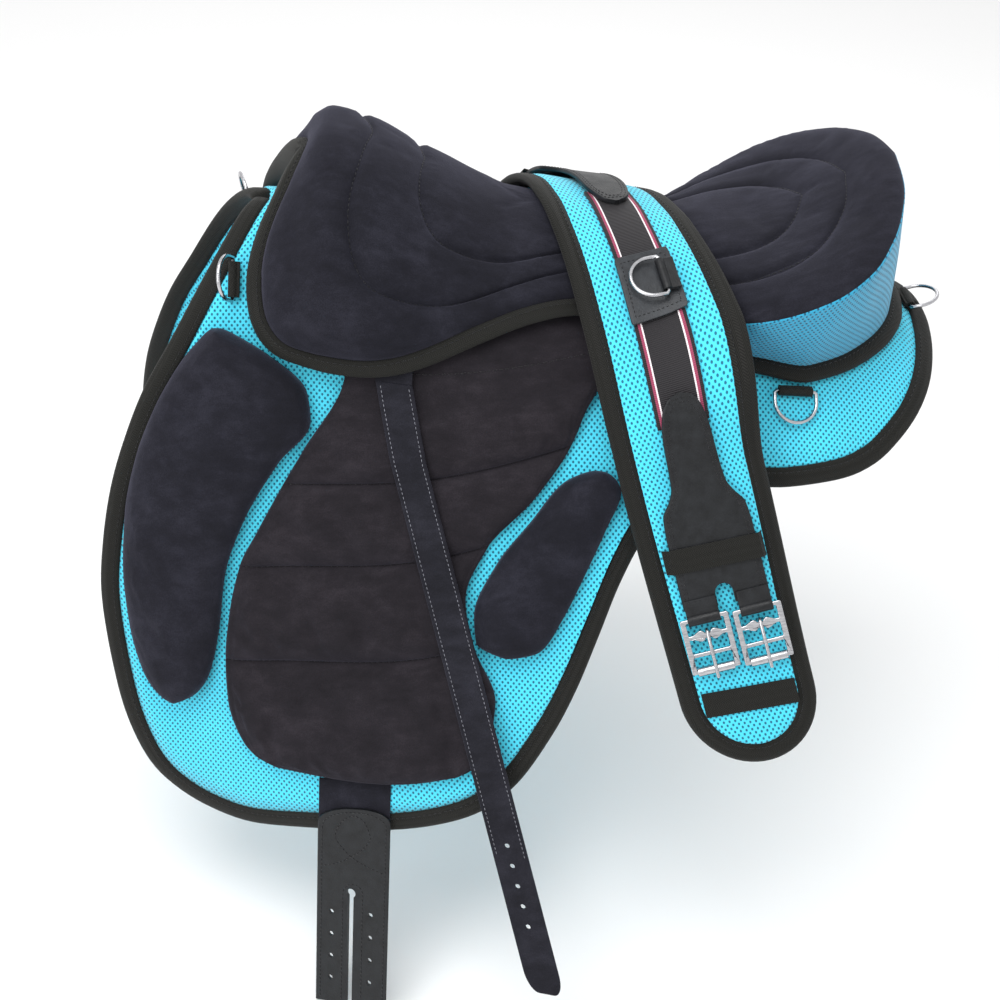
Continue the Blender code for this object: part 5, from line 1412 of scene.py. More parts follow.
def block_ground(left, right, sag=0.0, end_round=9 * MM):
    """Gives x, v and the distances to the nearer side and end, for shares across and along a pad."""
    (x0, v0), (x1, v1) = edge_point(left, 0), edge_point(left, 1)
    length = math.dist((x0, v0), (x1, v1))

    def ground(a, b):
        x0, v0 = edge_point(left, b)
        x1, v1 = edge_point(right, b)
        from_end = np.minimum(b, 1 - b) * length
        across = 0.5 + (a - 0.5) * bump((from_end + 0.05 * MM) / end_round)
        width = np.hypot(x1 - x0, v1 - v0)
        x = x0 + (x1 - x0) * across
        v = v0 + (v1 - v0) * across + sag * 4 * across * (1 - across)
        return x, v, np.minimum(a, 1 - a) * width, from_end

    return ground, length


def padded_block(name, ground, across, along, height, under, side):
    def outer(a, b):
        x, v, from_side, from_end = ground(a, b)
        return place(x, side * v, height(a, b, from_side, from_end))

    def inner(a, b):
        x, v, _, _ = ground(a, b)
        return place(x, side * v, under)

    return skin(name, across, along, outer, inner)


print("pad and block outlines:", len(PAD_LEFT) + len(KNEE_LEFT) + len(THIGH_LEFT), "stations a side")

# %% Flap pads
LEATHER_WIDTH = 27 * MM
HANGER_X = -86 * MM
LEATHER_TRAIL = 0.21
LEATHER_TRAIL_FROM = 142 * MM
LEATHER_TRAIL_EXTRA = 0.08
LEATHER_TRAIL_EXTRA_FROM = 200 * MM
PAD_ROLL = 22 * MM
QUILT_DIP = 3.4 * MM
QUILT_SOFT = 11 * MM
QUILT_SHARP = 1.7 * MM
RIM_SEAM_DIP = 0.9 * MM
RIM_SEAM_WIDTH = 1.2 * MM
CHANNEL_STEPS = (-0.006, -0.003, 0, 0.003, 0.006)


def leather_line(v):
    """Where the middle of the stirrup leather runs: it trails to the rear as it hangs."""
    trail = LEATHER_TRAIL * np.maximum(v - LEATHER_TRAIL_FROM, 0)
    return HANGER_X + trail + LEATHER_TRAIL_EXTRA * np.maximum(v - LEATHER_TRAIL_EXTRA_FROM, 0)


def make_flap_pad(word, side):
    drawn, length = block_ground(PAD_LEFT, PAD_RIGHT, PAD_SAG, 0.1 * MM)

    def ground(a, b):
        x, v, from_side, from_end = drawn(a, b)
        return x, v - PAD_TUCK * (1 - smooth(b / 0.1)), from_side, from_end

    def height(a, b, from_side, from_end):
        end = np.where(b > 0.5, from_end, 1)
        from_rim = np.minimum(from_side, end)
        h = LAYER + PAD_EDGE_THICK + (PAD_THICK - PAD_EDGE_THICK) * bump(from_rim / PAD_ROLL)
        stuffing = (h - LAYER) / PAD_THICK
        for at in PAD_CHANNELS:
            off = np.abs(b - at) * length
            h = h - stuffing * QUILT_DIP * (np.exp(-((off / QUILT_SOFT) ** 2)) + np.exp(-off / QUILT_SHARP))
        h = h - RIM_SEAM_DIP * np.exp(-((from_rim - PAD_SEAM_INSET) / RIM_SEAM_WIDTH) ** 2)
        free = smooth((b - PAD_UNDER_SEAT) / 0.06)
        return (LAYER + PAD_EDGE_THICK) * (1 - free) + h * free

    channel_rows = [at + step for at in PAD_CHANNELS for step in CHANNEL_STEPS]
    rows = np.unique(np.concatenate([spaced(110, 0.3), channel_rows]))
    pad = padded_block(f"{word}_quilted_flap_pad", ground, spaced(70, 0.6), rows, height, LAYER, side)

    def held(a, b):
        x, v, from_side, from_end = ground(a, b)
        seams = [1 - smooth((np.abs(b - at) * length - 1.5 * MM) / (5 * MM)) for at in PAD_CHANNELS]
        rim = 1 - smooth((np.minimum(from_side, from_end) - PAD_SEAM_INSET) / (4 * MM))
        under_leather = 1 - smooth((np.abs(x - leather_line(v)) - 16 * MM) / (10 * MM))
        under_seat = 1 - smooth((b - PAD_UNDER_SEAT) / 0.05)
        return np.maximum.reduce([*seams, rim, under_leather, under_seat])

    stuffed(pad, "flap pad", side, held, 3 * MM, 0.035)
    dressed(pad, "saddle", "pad suede", replaces=(f"{word}_flap_pad",))
    runs = []
    for at in PAD_CHANNELS:
        a = np.linspace(0.02, 0.98, 120)
        x, v, _, _ = ground(a, np.full_like(a, at))
        runs.append(on_surface(pad, x, v, side, lift=0.1 * MM))
    sew(f"{word}_flap_pad_stitching", runs, "saddle", "black thread", width=0.7 * MM)
    print(word, "flap pad:", len(pad.data.polygons), "faces")


for word, side in SIDES.items():
    make_flap_pad(word, side)

# %% Knee and thigh blocks
def make_block(name, node, left, right, thick, side):
    ground, _ = block_ground(left, right)

    def height(a, b, from_side, from_end):
        crown = 0.55 * bump(from_side / (16 * MM)) + 0.45 * np.sin(math.pi * a)
        ends = bump(from_end / (26 * MM))
        return LAYER + 4 * MM + (thick - 4 * MM) * crown * (0.35 + 0.65 * ends)

    def held(a, b):
        _, _, from_side, from_end = ground(a, b)
        return 1 - smooth((np.minimum(from_side, from_end) - 1 * MM) / (6 * MM))

    roll = padded_block(name, ground, spaced(56, 0.6), spaced(96, 0.85), height, 0.5 * MM, side)
    stuffed(roll, node.split("_", 1)[1], side, held, 3 * MM, 0.012)
    dressed(roll, "saddle", "suede", replaces=(node,))
    print(name, "swells to", thick, "m")


for word, side in SIDES.items():
    make_block(f"{word}_knee_roll", f"{word}_knee_block", KNEE_LEFT, KNEE_RIGHT, KNEE_THICK, side)
    make_block(f"{word}_thigh_roll", f"{word}_thigh_block", THIGH_LEFT, THIGH_RIGHT, THIGH_THICK, side)

# %% [markdown]
# ## Stirrup leathers and billets
#
# A stirrup leather is a long strap that hangs from a steel bar under the seat's edge. It is drawn
# as a rounded section carried down a line, so its edges catch the light as cut leather does. Its
# holes and the billet's slot are cut out of the finished strap, as a punch would.

# %% Strap sizes
LEATHER_THICK = 3.6 * MM
LEATHER_TOP = 143 * MM
LEATHER_END = 600 * MM
LEATHER_TIP = 16 * MM
LEATHER_CLEAR = 0.8 * MM
HOLE_DIAMETER = 4.5 * MM
HOLE_PITCH = 15.5 * MM
HOLE_START = 51 * MM
HOLE_COUNT = 5
EDGE_STITCH = 3 * MM
EDGE_STITCH_STOPS = 105 * MM
BILLET_X = -109 * MM
BILLET_WIDTH = 58 * MM
BILLET_THICK = 3.4 * MM
BILLET_TOP = 488 * MM
BILLET_TIP = 662 * MM
BILLET_SLOT = 5 * MM
BILLET_SLOT_ROUND = 8 * MM
BILLET_SLOT_TOP = 562 * MM
BILLET_HOLES = 4
BILLET_HOLE_START = 22 * MM
BILLET_HOLE_PITCH = 20 * MM
BILLET_SIDE_STITCH = 3.5 * MM
BILLET_END_STITCH = 3 * MM
SLOT_STITCH = 8 * MM
WEB_TOP = 464 * MM
WEB_END = 531 * MM
WEB_THICK = 1.8 * MM
WEB_CLIMB = 1.3 * MM
WEB_LOW_FROM = 500 * MM
WEB_HIGH_TO = 484 * MM
BILLET_SKEW = -0.26
BILLET_CROWN = 13 * MM
BILLET_RIBBON = np.array([
    (-24, 51), (-13, 48), (-2, 42), (7, 35), (13, 26), (11, 17), (7, 10), (0, 6), (-7, 9), (-12, 15),
    (-15, 24), (-12, 31), (-6, 38), (-2, 42), (8, 48), (24, 55),
]) * MM
BINDING_TOP = (BINDING_THICK - PANEL_THICK) / 2
SEWN_GAP = 0.5 * MM


def leather_rest(v):
    at_seat = LAYER + PAD_EDGE_THICK + LEATHER_CLEAR
    over_pad = LAYER + PAD_THICK + LEATHER_CLEAR
    return at_seat + (over_pad - at_seat) * smooth((v - LEATHER_TOP) / (22 * MM))


print("strap widths:", LEATHER_WIDTH, "and", BILLET_WIDTH, "m")

# %% Stirrup leathers
def make_stirrup_leather(word, side):
    def narrow(s):
        return 0.45 + 0.55 * bump((LEATHER_END - s) / LEATHER_TIP)

    def where(s, w, h):
        return place(leather_line(s) + w, side * s, leather_rest(s) + h)

    along = np.concatenate([
        np.linspace(LEATHER_TOP, LEATHER_END - LEATHER_TIP, 150),
        LEATHER_END - LEATHER_TIP * (1 - np.sin(np.linspace(0.1, math.pi / 2, 12))),
    ])
    section = oblong(LEATHER_WIDTH, LEATHER_THICK, 1.1 * MM, 8)
    strap = band(f"{word}_stirrup_strap", section, along, where, narrow)
    middles = LEATHER_END - HOLE_START - np.arange(HOLE_COUNT) * HOLE_PITCH
    frames = [axes_at(place, leather_line(v), side * v, leather_rest(v)) for v in middles]
    cut(strap, pins(frames, HOLE_DIAMETER))
    body = f"{word}_stirrup_leather"
    dressed(strap, body, "strap leather", replaces=(body,))
    v = np.linspace(LEATHER_TOP + 2 * MM, LEATHER_END - EDGE_STITCH_STOPS, 200)
    on_top = leather_rest(v) + LEATHER_THICK + 0.1 * MM
    half = LEATHER_WIDTH / 2 - EDGE_STITCH
    runs = [place(leather_line(v) + across, side * v, on_top) for across in (-half, half)]
    sew(f"{word}_strap_stitching", runs, body, "pale thread", stitch=2.2 * MM, gap=1.3 * MM, width=0.55 * MM)


for word, side in SIDES.items():
    make_stirrup_leather(word, side)
print("stirrup leathers:", round(LEATHER_END - LEATHER_TOP, 3), "m long")

# %% [markdown]
# ### The stirrup bars and their loops
#
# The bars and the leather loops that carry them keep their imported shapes, which are the real
# ones. Only their finishes are exchanged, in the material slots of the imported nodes.

# %% Bars and loops
KEPT_NODES = {"stirrup_bar": "steel", "leather_loop": "strap leather"}
for name, node in frame["nodes"].items():
    for ending, material in KEPT_NODES.items():
        if name.endswith(ending):
            node.data.materials.clear()
            node.data.materials.append(MATERIALS[material][0])
            print(name, "keeps its shape, in", material)

# %% Billets
def web_rest(v):
    """The webbing leaves the panel's face and lies down on the binding."""
    low = BINDING_TOP + SEWN_GAP
    return low + WEB_CLIMB * (1 - smooth((v - WEB_HIGH_TO) / (WEB_LOW_FROM - WEB_HIGH_TO)))


def billet_place(side, s, w, h):
    """Points of a billet: s down it, w across it, along the panel's lower edge, and h above the face."""
    return place(BILLET_X + w, side * (s + BILLET_SKEW * w), h)


def make_billet(word, side):
    def on_web(s, w, h):
        thin = 0.4 + 0.6 * smooth((s - WEB_TOP) / (10 * MM))
        return billet_place(side, s, w, web_rest(s) + h * thin)

    web = band(f"{word}_billet_webbing", oblong(BILLET_WIDTH - 1 * MM, WEB_THICK, 0.5 * MM, 12),
               np.linspace(WEB_TOP, WEB_END, 40), on_web)
    dressed(web, "saddle", "suede", replaces=(f"{word}_billet_web",))

    def rest(v):
        return web_rest(v) + WEB_THICK + GAP

    crown = BILLET_TOP + BILLET_CROWN * (1 - np.cos(np.linspace(0, math.pi / 2, 12)))
    body = f"{word}_billet"
    strap = band(
        f"{word}_billet_straps", oblong(BILLET_WIDTH, BILLET_THICK, 1.0 * MM, 14),
        np.concatenate([crown, np.linspace(crown[-1] + 1 * MM, BILLET_TIP, 70)]),
        lambda s, w, h: billet_place(side, s, w, rest(s) + h),
        lambda s: 0.12 + 0.88 * bump((s - BILLET_TOP) / BILLET_CROWN),
    )
    low = float(rest(BILLET_TIP))
    slot_end = BILLET_TIP + BILLET_SLOT
    at = axes_at(place, BILLET_X, side * (BILLET_SLOT_TOP + slot_end) / 2, low)
    cut(strap, block("slot", BILLET_SLOT, slot_end - BILLET_SLOT_TOP, at))
    cut(strap, pins([axes_at(place, BILLET_X, side * BILLET_SLOT_TOP, low)], BILLET_SLOT_ROUND))
    frames = []
    for turn in (-1, 1):
        w = turn * (BILLET_WIDTH + BILLET_SLOT) / 4
        for back in BILLET_HOLE_START + np.arange(BILLET_HOLES) * BILLET_HOLE_PITCH:
            frames.append(axes_at(place, BILLET_X + w, side * (BILLET_TIP - back + BILLET_SKEW * w), low))
    cut(strap, pins(frames, HOLE_DIAMETER))
    dressed(strap, body, "leather", replaces=(body,))

    def on_top(w, s):
        return billet_place(side, s, w, rest(s) + BILLET_THICK + 0.1 * MM)

    half = BILLET_WIDTH / 2 - BILLET_SIDE_STITCH
    top, tip = BILLET_TOP + BILLET_END_STITCH, BILLET_TIP - BILLET_END_STITCH
    t = np.linspace(0, math.pi, 60)
    down = np.linspace(top + BILLET_CROWN, tip, 90)
    beside = np.linspace(BILLET_SLOT_TOP, tip, 80)
    around = np.linspace(-math.pi / 2, math.pi / 2, 24)
    ribbon = path(BILLET_RIBBON, 110)
    runs = [
        on_top(-half * np.cos(t), top + BILLET_CROWN * (1 - np.sin(t))),
        on_top(ribbon[:, 0], BILLET_TOP + ribbon[:, 1]),
        on_top(SLOT_STITCH * np.sin(around), BILLET_SLOT_TOP - SLOT_STITCH * np.cos(around)),
    ]
    for turn in (-1, 1):
        runs.append(on_top(np.full_like(down, turn * half), down))
        runs.append(on_top(np.full_like(beside, turn * SLOT_STITCH), beside))
    sew(f"{word}_billet_stitching", runs, body, "black thread", stitch=2.6 * MM, gap=1.0 * MM,
        width=0.75 * MM)


for word, side in SIDES.items():
    make_billet(word, side)
print("billets:", round(BILLET_TIP - BILLET_TOP, 3), "m long")

# %% [markdown]
# ## Dees and their tabs
#
# A dee is a steel rod bent to the letter's shape, held by a short webbing strap that is folded
# round its straight side. The strap is drawn in the plane of its fold and given its width after.

# %% Dees
DEE_WIDTH = 32 * MM
DEE_DEPTH = 24 * MM
DEE_WIRE = 3 * MM
DEE_CORNER = 1.5 * MM
TAB_WIDTH = 26 * MM
TAB_THICK = 1.6 * MM
BORE_CLEAR = 0.4 * MM
TAB_REACH = DEE_WIRE / 2 + BORE_CLEAR + TAB_THICK
FRONT_DEE = (-205 * MM, 79 * MM)
REAR_DEE = (213 * MM, 121.5 * MM)
CENTRE_DEE_X = 323.5 * MM


def folded(name, line, width, thick, matrix, count=70):
    """A strap bent along (y, z) points in a frame's own plane; its width runs along local X."""
    line = np.array(line)
    length = travelled(line)
    tangent = np.gradient(line, axis=0)
    tangent /= np.linalg.norm(tangent, axis=1)[:, None]
    turn = np.array(matrix)

    def where(s, w, h):
        off = h - thick / 2
        y = np.interp(s, length, line[:, 0]) - np.interp(s, length, tangent[:, 1]) * off
        z = np.interp(s, length, line[:, 1]) + np.interp(s, length, tangent[:, 0]) * off
        local = np.stack([w, y, z, np.ones_like(w)], axis=1)
        return (local @ turn.T)[:, :3]

    section = oblong(width, thick, thick * 0.3, 6, 3)
    return band(name, section, np.linspace(0, length[-1], count), where)


def fold_line(bore, thick, tail):
    """Two layers that lie together up the slope and open into a ring round a bar."""
    radius = bore + thick / 2
    start = math.degrees(math.asin((thick / 2) / radius))
    ring = arc(0, 0, radius, -start, start - 360, 40)
    return [(tail, -thick / 2), *ring, (tail, thick / 2)]


def make_dee(name, body, matrix, open_angle, tail, tab_body, tab_finish="webbing"):
    half = DEE_WIDTH / 2
    straight = DEE_DEPTH - half
    bow = [(half * math.cos(t), -straight - half * math.sin(t), 0) for t in np.linspace(0, math.pi, 41)]
    points = [(-half + DEE_CORNER, 0, 0), (half - DEE_CORNER, 0, 0), (half, -DEE_CORNER, 0), *bow,
              (-half, -DEE_CORNER, 0)]
    turned = matrix @ Matrix.Rotation(math.radians(open_angle), 4, "X")
    ring = wire(f"{name}_dee", points, DEE_WIRE, True, turned)
    dressed(ring, body, "steel", replaces=(f"{name}_dee_ring",))
    line = fold_line(DEE_WIRE / 2 + BORE_CLEAR, TAB_THICK, tail)
    tab = folded(f"{name}_dee_strap", line, TAB_WIDTH, TAB_THICK, matrix)
    dressed(tab, tab_body, tab_finish, replaces=(f"{name}_dee_tab",))


for word, side in SIDES.items():
    front = axes_at(place, FRONT_DEE[0], side * FRONT_DEE[1], SEWN_GAP + TAB_REACH, turn=-90 * side)
    make_dee(f"{word}_front", f"{word}_front_dee_ring", front, -75, 5 * MM, "saddle")
    rear = axes_at(place, REAR_DEE[0], side * REAR_DEE[1], SEWN_GAP + TAB_REACH)
    make_dee(f"{word}_rear", f"{word}_rear_dee_ring", rear, 0, 4 * MM, "saddle")
centre = axes_at(place, CENTRE_DEE_X, 0.0, BINDING_TOP + SEWN_GAP + TAB_REACH, turn=90)
make_dee("rear_centre", "rear_centre_dee_ring", centre, -20, 5 * MM, "saddle")
print("five dees on the saddle, wire", DEE_WIRE, "m")

# %% [markdown]
# ## The girth
#
# The girth lies folded over the seat: a padded mesh band, bound all round, with a strip of elastic
# along its middle, a leather end at each side that carries two roller buckles, and a leather patch
# with a dee in between. It has its own map, laid over the saddle's, so every layer of it is drawn
# flat and follows the drape.

# %% The girth's map
GIRTH_HALF = 338 * MM
GIRTH_WIDTH = 108 * MM
GIRTH_THICK = 12 * MM
GIRTH_ROUND = 52 * MM
GIRTH_BINDING = 14 * MM
GIRTH_TAPER_FROM = 218 * MM
GIRTH_TAPER_OVER = 200 * MM
GIRTH_TAPER = 0.07
GIRTH_AT = (98 * MM, 74 * MM)
GIRTH_TURN = math.radians(16.7)
GIRTH_CLEAR = 3.4 * MM
GIRTH_REST = 2 * MM
GIRTH_FALL_NEAR = 300 * MM
GIRTH_FALL_OFF = 170 * MM
GIRTH_BEND = 0.15
GIRTH_LEVEL_X = 105 * MM
GIRTH_CLIMB_FALL = 80 * MM
RIM_ON_PANEL = 3 * MM
WHOLE_SEAT_LINE = seat_edge()


def girth_fall(t):
    t = np.clip(t, 0, 1)
    return 1 - (1 - t * t * (1 + GIRTH_BEND) / (t + GIRTH_BEND)) ** 1.5


def girth_rest(x, v):
    """How far the girth's back is held off the panels: it lies on the seat, then falls past its edge."""
    beside = WHOLE_SEAT_LINE[np.argmin(WHOLE_SEAT_LINE[:, 0]):]
    edge_v = np.interp(x, beside[:, 0], beside[:, 1])
    inside = np.minimum(np.abs(v), edge_v)
    top = seat_height(np.minimum(x, GIRTH_LEVEL_X), inside, WHOLE_SEAT_LINE) + GIRTH_CLEAR
    climb = seat_height(x, inside, WHOLE_SEAT_LINE) + GIRTH_CLEAR - top
    past_edge = np.abs(v) - edge_v + RIM_ON_PANEL
    length = np.where(v > 0, GIRTH_FALL_NEAR, GIRTH_FALL_OFF)
    rest = LAYER + GIRTH_REST + np.where(v > 0, 0, THIGH_THICK)
    climb = climb * (1 - smooth(past_edge / GIRTH_CLIMB_FALL))
    return top + (rest - top) * girth_fall(past_edge / length) + climb


def girth_place(s, w, h=0.0):
    """Points on the girth: s along it from the patch, w across it to the rear, h above its back."""
    s, w, h = np.broadcast_arrays(*(np.asarray(k, float) for k in (s, w, h)))
    x = GIRTH_AT[0] + s * math.sin(GIRTH_TURN) + w * math.cos(GIRTH_TURN)
    v = GIRTH_AT[1] + s * math.cos(GIRTH_TURN) - w * math.sin(GIRTH_TURN)
    return place(x, v, girth_rest(x, v) + h)


def girth_frame(s, w, h):
    """Local +X across the girth to the rear, +Y back along it to the patch, +Z out of it."""
    step = 2 * MM
    along = Vector(girth_place(s - step, w, h) - girth_place(s + step, w, h)).normalized()
    across = Vector(girth_place(s, w + step, h) - girth_place(s, w - step, h)).normalized()
    out = across.cross(along).normalized()
    if Vector(girth_place(s, w, h + step) - girth_place(s, w, h)).dot(out) < 0:
        out = -out
    across = along.cross(out)
    matrix = Matrix((across, along, out)).transposed().to_4x4()
    matrix.translation = Vector(girth_place(s, w, h))
    return matrix


def girth_taper(s):
    return 1 - GIRTH_TAPER * smooth((GIRTH_TAPER_FROM - (GIRTH_HALF - np.abs(s))) / GIRTH_TAPER_OVER)


def girth_half_width(s, inset=0.0):
    """Parallel sides and a full round end, moved inwards."""
    start = GIRTH_HALF - GIRTH_ROUND
    side = GIRTH_WIDTH / 2 * girth_taper(np.minimum(np.abs(s), start)) - inset
    past = np.clip((np.abs(s) - start) / (GIRTH_ROUND - inset), 0, 1)
    return side * np.sqrt(1 - past**2)


def girth_stations(inset, count=150, ends=16):
    start = GIRTH_HALF - GIRTH_ROUND
    cap = start + (GIRTH_ROUND - inset) * np.sin(np.linspace(0, math.pi / 2, ends)[1:])
    return np.concatenate([-cap[::-1], np.linspace(-start, start, count), cap])


print("girth:", 2 * GIRTH_HALF, "m long,", GIRTH_WIDTH, "m wide")

# %% Pad, binding and elastic
ELASTIC_WIDTH = 38 * MM
ELASTIC_THICK = 2.1 * MM
ELASTIC_HALF_LENGTH = 85.8 * MM
ELASTIC_LOW = GIRTH_THICK + 1.0 * MM
MATERIALS["elastic"] = (elastic_band("woven striped elastic", ELASTIC_WIDTH), "elastic")


def make_girth_pad():
    inset = GIRTH_BINDING + GAP

    def ground(a, s):
        half = girth_half_width(s, inset)
        return a * half, (1 - np.abs(a)) * half

    def outer(a, s):
        w, from_edge = ground(a, s)
        return girth_place(s, w, GIRTH_THICK + 0.5 * MM - 2.2 * MM * np.exp(-from_edge / (3.5 * MM)))

    def inner(a, s):
        w, from_edge = ground(a, s)
        return girth_place(s, w, 1.2 * MM * np.exp(-from_edge / (3.5 * MM)))

    def pattern(a, s):
        return np.stack([ground(a, s)[0], s], axis=1)

    across = 2 * spaced(40, 0.6) - 1
    pad = skin("girth_mesh_pad", across, girth_stations(inset), outer, inner, pattern)
    dressed(pad, "girth", "air mesh", replaces=("girth_pad",))
    outline = girth_outline(0)
    binding = rolled_edge("girth_edge_binding", outline, GIRTH_BINDING + BINDING_LAP, 0.7 * MM, 10.4 * MM,
                          girth_place, closed=True)
    dressed(binding, "girth", "webbing", replaces=("girth_binding",))
    seam = inwards(outline, (GIRTH_BINDING - GAP) * 0.82, closed=True)
    sew("girth_edge_stitching", [girth_place(seam[:, 0], seam[:, 1], 10.7 * MM)], "girth", "black thread",
        width=0.7 * MM)
    print("girth pad:", len(pad.data.polygons), "faces")


def girth_outline(inset):
    """Points (s, w) all round the girth, back to the first."""
    s = girth_stations(inset, 110, 16)
    w = girth_half_width(s, inset)
    one = np.column_stack([s, w])
    other = np.column_stack([-s, -w])
    return np.vstack([one[:-1], other[:-1], one[:1]])


def make_elastic():
    elastic = band(
        "girth_stretch_band", oblong(ELASTIC_WIDTH, ELASTIC_THICK, 0.6 * MM, 12),
        np.linspace(-ELASTIC_HALF_LENGTH, ELASTIC_HALF_LENGTH, 60),
        lambda s, w, h: girth_place(s, w, ELASTIC_LOW + h),
    )
    dressed(elastic, "girth", "elastic", replaces=("girth_elastic",))
    print("elastic:", 2 * ELASTIC_HALF_LENGTH, "m long")


make_girth_pad()
make_elastic()

# %% [markdown]
# ### Leather ends and buckles
#
# Each end is one piece of leather with a rounded point, waisted and then wide, and notched between
# its two tabs. A tab is folded round a buckle's top bar. A buckle is cast: two rails and four bars
# in one, with a leaf on either side of the tongue to stiffen the bar that it hangs on. The last
# bar carries a loose roller, so that a billet slides over it when the girth is drawn up.

# %% Buckle sizes
LEATHER_LOW = ELASTIC_LOW + ELASTIC_THICK + 1.0 * MM
GIRTH_LEATHER_THICK = 3.4 * MM
BUCKLE_PIVOT = GIRTH_HALF - 114 * MM
BUCKLE_SPACING = 39 * MM
BUCKLE_WIDTH = 36 * MM
BUCKLE_LENGTH = 43 * MM
BUCKLE_BAR = 3 * MM
BUCKLE_RAIL = 4 * MM
BUCKLE_BARS = np.array([-12.5, -26, -38.5]) * MM
BUCKLE_CORNER = 1.4 * MM
ROLLER_DIAMETER = 6.8 * MM
TONGUE_DIAMETER = 2.7 * MM
LOOP_WIDTH = 24 * MM
LOOP_THICK = 1.8 * MM
LOOP_TAIL = 15 * MM
NOTCH_WIDTH = 13 * MM
NOTCH_REACH = 24 * MM
NOTCH_TOP = BUCKLE_PIVOT - 16 * MM
LEATHER_SHAPE = np.array([
    (-158, 2), (-155, 9), (-148, 14), (-134, 17.5), (-96, 20), (-87, 24), (-77, 30.5), (-59, 32),
    (-7, 32),
]) * MM
LEAF_START = 1.9 * MM
LEAF_LENGTH = 9.5 * MM
LEAF_HEIGHT = 2.6 * MM
WINDOW_CORNER = 0.001
BUCKLE_HEIGHT = LEATHER_LOW + GIRTH_LEATHER_THICK / 2 + LOOP_THICK


def buckle_matrix(end, turn):
    """Axes at a buckle's top bar, with local +Y back towards the middle of the girth."""
    w = turn * BUCKLE_SPACING / 2
    top = Vector(girth_place(end * BUCKLE_PIVOT, w, BUCKLE_HEIGHT))
    foot = Vector(girth_place(end * (BUCKLE_PIVOT + BUCKLE_LENGTH), w, BUCKLE_HEIGHT))
    middle = girth_frame(end * (BUCKLE_PIVOT + BUCKLE_LENGTH / 2), w, 0)
    up = (top - foot).normalized()
    across = up.cross(middle.col[2].to_3d()).normalized()
    matrix = Matrix((across, up, across.cross(up))).transposed().to_4x4()
    matrix.translation = top
    return matrix


def bore_round(bar):
    return bar / 2 * math.sqrt(2) + BORE_CLEAR


def rounded_box(x0, y0, x1, y1, radius, count=6):
    return (
        arc(x1 - radius, y1 - radius, radius, 0, 90, count)
        + arc(x0 + radius, y1 - radius, radius, 90, 180, count)
        + arc(x0 + radius, y0 + radius, radius, 180, 270, count)
        + arc(x1 - radius, y0 + radius, radius, 270, 360, count)
    )


def leaf(x):
    """How far the tongue's bar swells beside the tongue: fullest near it, thin at the rail."""
    t = np.clip((np.abs(x) - LEAF_START) / LEAF_LENGTH, 0, 1)
    return LEAF_HEIGHT * np.sin(math.pi * t**0.6) ** 1.3


def windows():
    """The three openings of a buckle, the first two shaped by the leaves between them."""
    bar = BUCKLE_BAR / 2
    inside = BUCKLE_WIDTH / 2 - BUCKLE_RAIL
    pivot_y, middle_y, last_y = BUCKLE_BARS
    x = np.linspace(-inside, inside, 41)
    above = [(x_at, pivot_y + bar + rise) for x_at, rise in zip(x, leaf(x))]
    below = [(x_at, pivot_y - bar - rise) for x_at, rise in zip(x, leaf(x))]
    corner = WINDOW_CORNER
    first = [*above, *arc(inside - corner, -bar - corner, corner, 0, 90, 4),
             *arc(-inside + corner, -bar - corner, corner, 90, 180, 4)]
    second = [*below[::-1], *arc(-inside + corner, middle_y + bar + corner, corner, 180, 270, 4),
              *arc(inside - corner, middle_y + bar + corner, corner, 270, 360, 4)]
    third = rounded_box(-inside, last_y + bar, inside, middle_y - bar, corner, 4)
    return [first, second, third]


print("buckle:", BUCKLE_WIDTH, "by", BUCKLE_LENGTH, "m; leather under it at", round(LEATHER_LOW, 4))

# %% Buckles
def make_buckle(end, turn):
    which = "near" if end > 0 else "far"
    at = "rear" if turn * end > 0 else "front"
    name = f"girth_{which}_{at}_buckle"
    matrix = buckle_matrix(end, turn)
    half = BUCKLE_WIDTH / 2
    bar = BUCKLE_BAR / 2
    pivot_y, _, last_y = BUCKLE_BARS
    outline = rounded_box(-half, last_y - bar, half, bar, BUCKLE_CORNER)
    casting = plate(f"{name}_frame", [outline, *windows()], BUCKLE_BAR, matrix, edge=0.7 * MM)
    dressed(casting, name, "steel", replaces=(name,))
    sideways = matrix @ Matrix.Translation((0, last_y, 0)) @ Matrix.Rotation(math.pi / 2, 4, "Y")
    rings = [arc(0, 0, ROLLER_DIAMETER / 2, 0, 352, 45), arc(0, 0, bore_round(BUCKLE_BAR), 0, 350, 36)]
    length = BUCKLE_WIDTH - 2 * BUCKLE_RAIL - 2 * GAP
    roller = plate(f"{name}_sleeve", rings, length, sideways, edge=0.4 * MM)
    dressed(roller, f"{name}_roller", "steel", replaces=(f"{name}_roller",))
    hook = bore_round(BUCKLE_BAR) + TONGUE_DIAMETER / 2
    rest = ROLLER_DIAMETER / 2 + TONGUE_DIAMETER / 2 + GAP
    run = last_y - pivot_y
    bent = [(0, y, z) for y, z in arc(0, 0, hook, -150, 90, 12)]
    bent += [(0, run * 0.35, max(hook, rest)), (0, run, rest), (0, run - 6 * MM, rest - 0.4 * MM)]
    line = path(bent, 60, columns=3)
    tongue = wire(f"{name}_prong", line, TONGUE_DIAMETER, False, matrix @ Matrix.Translation((0, pivot_y, 0)))
    dressed(tongue, f"{name}_tongue", "steel", replaces=(f"{name}_tongue",))


for end in (1, -1):
    for turn in (-1, 1):
        make_buckle(end, turn)
print("four buckles, each with a frame, a roller and a tongue")

# %% Leather ends
LEATHER_POINT = 12 * MM
STITCH_ROWS = (2.6 * MM, 5.0 * MM)


def leather_half(s):
    return between(np.abs(s) - BUCKLE_PIVOT, LEATHER_SHAPE[:, 0], LEATHER_SHAPE[:, 1])


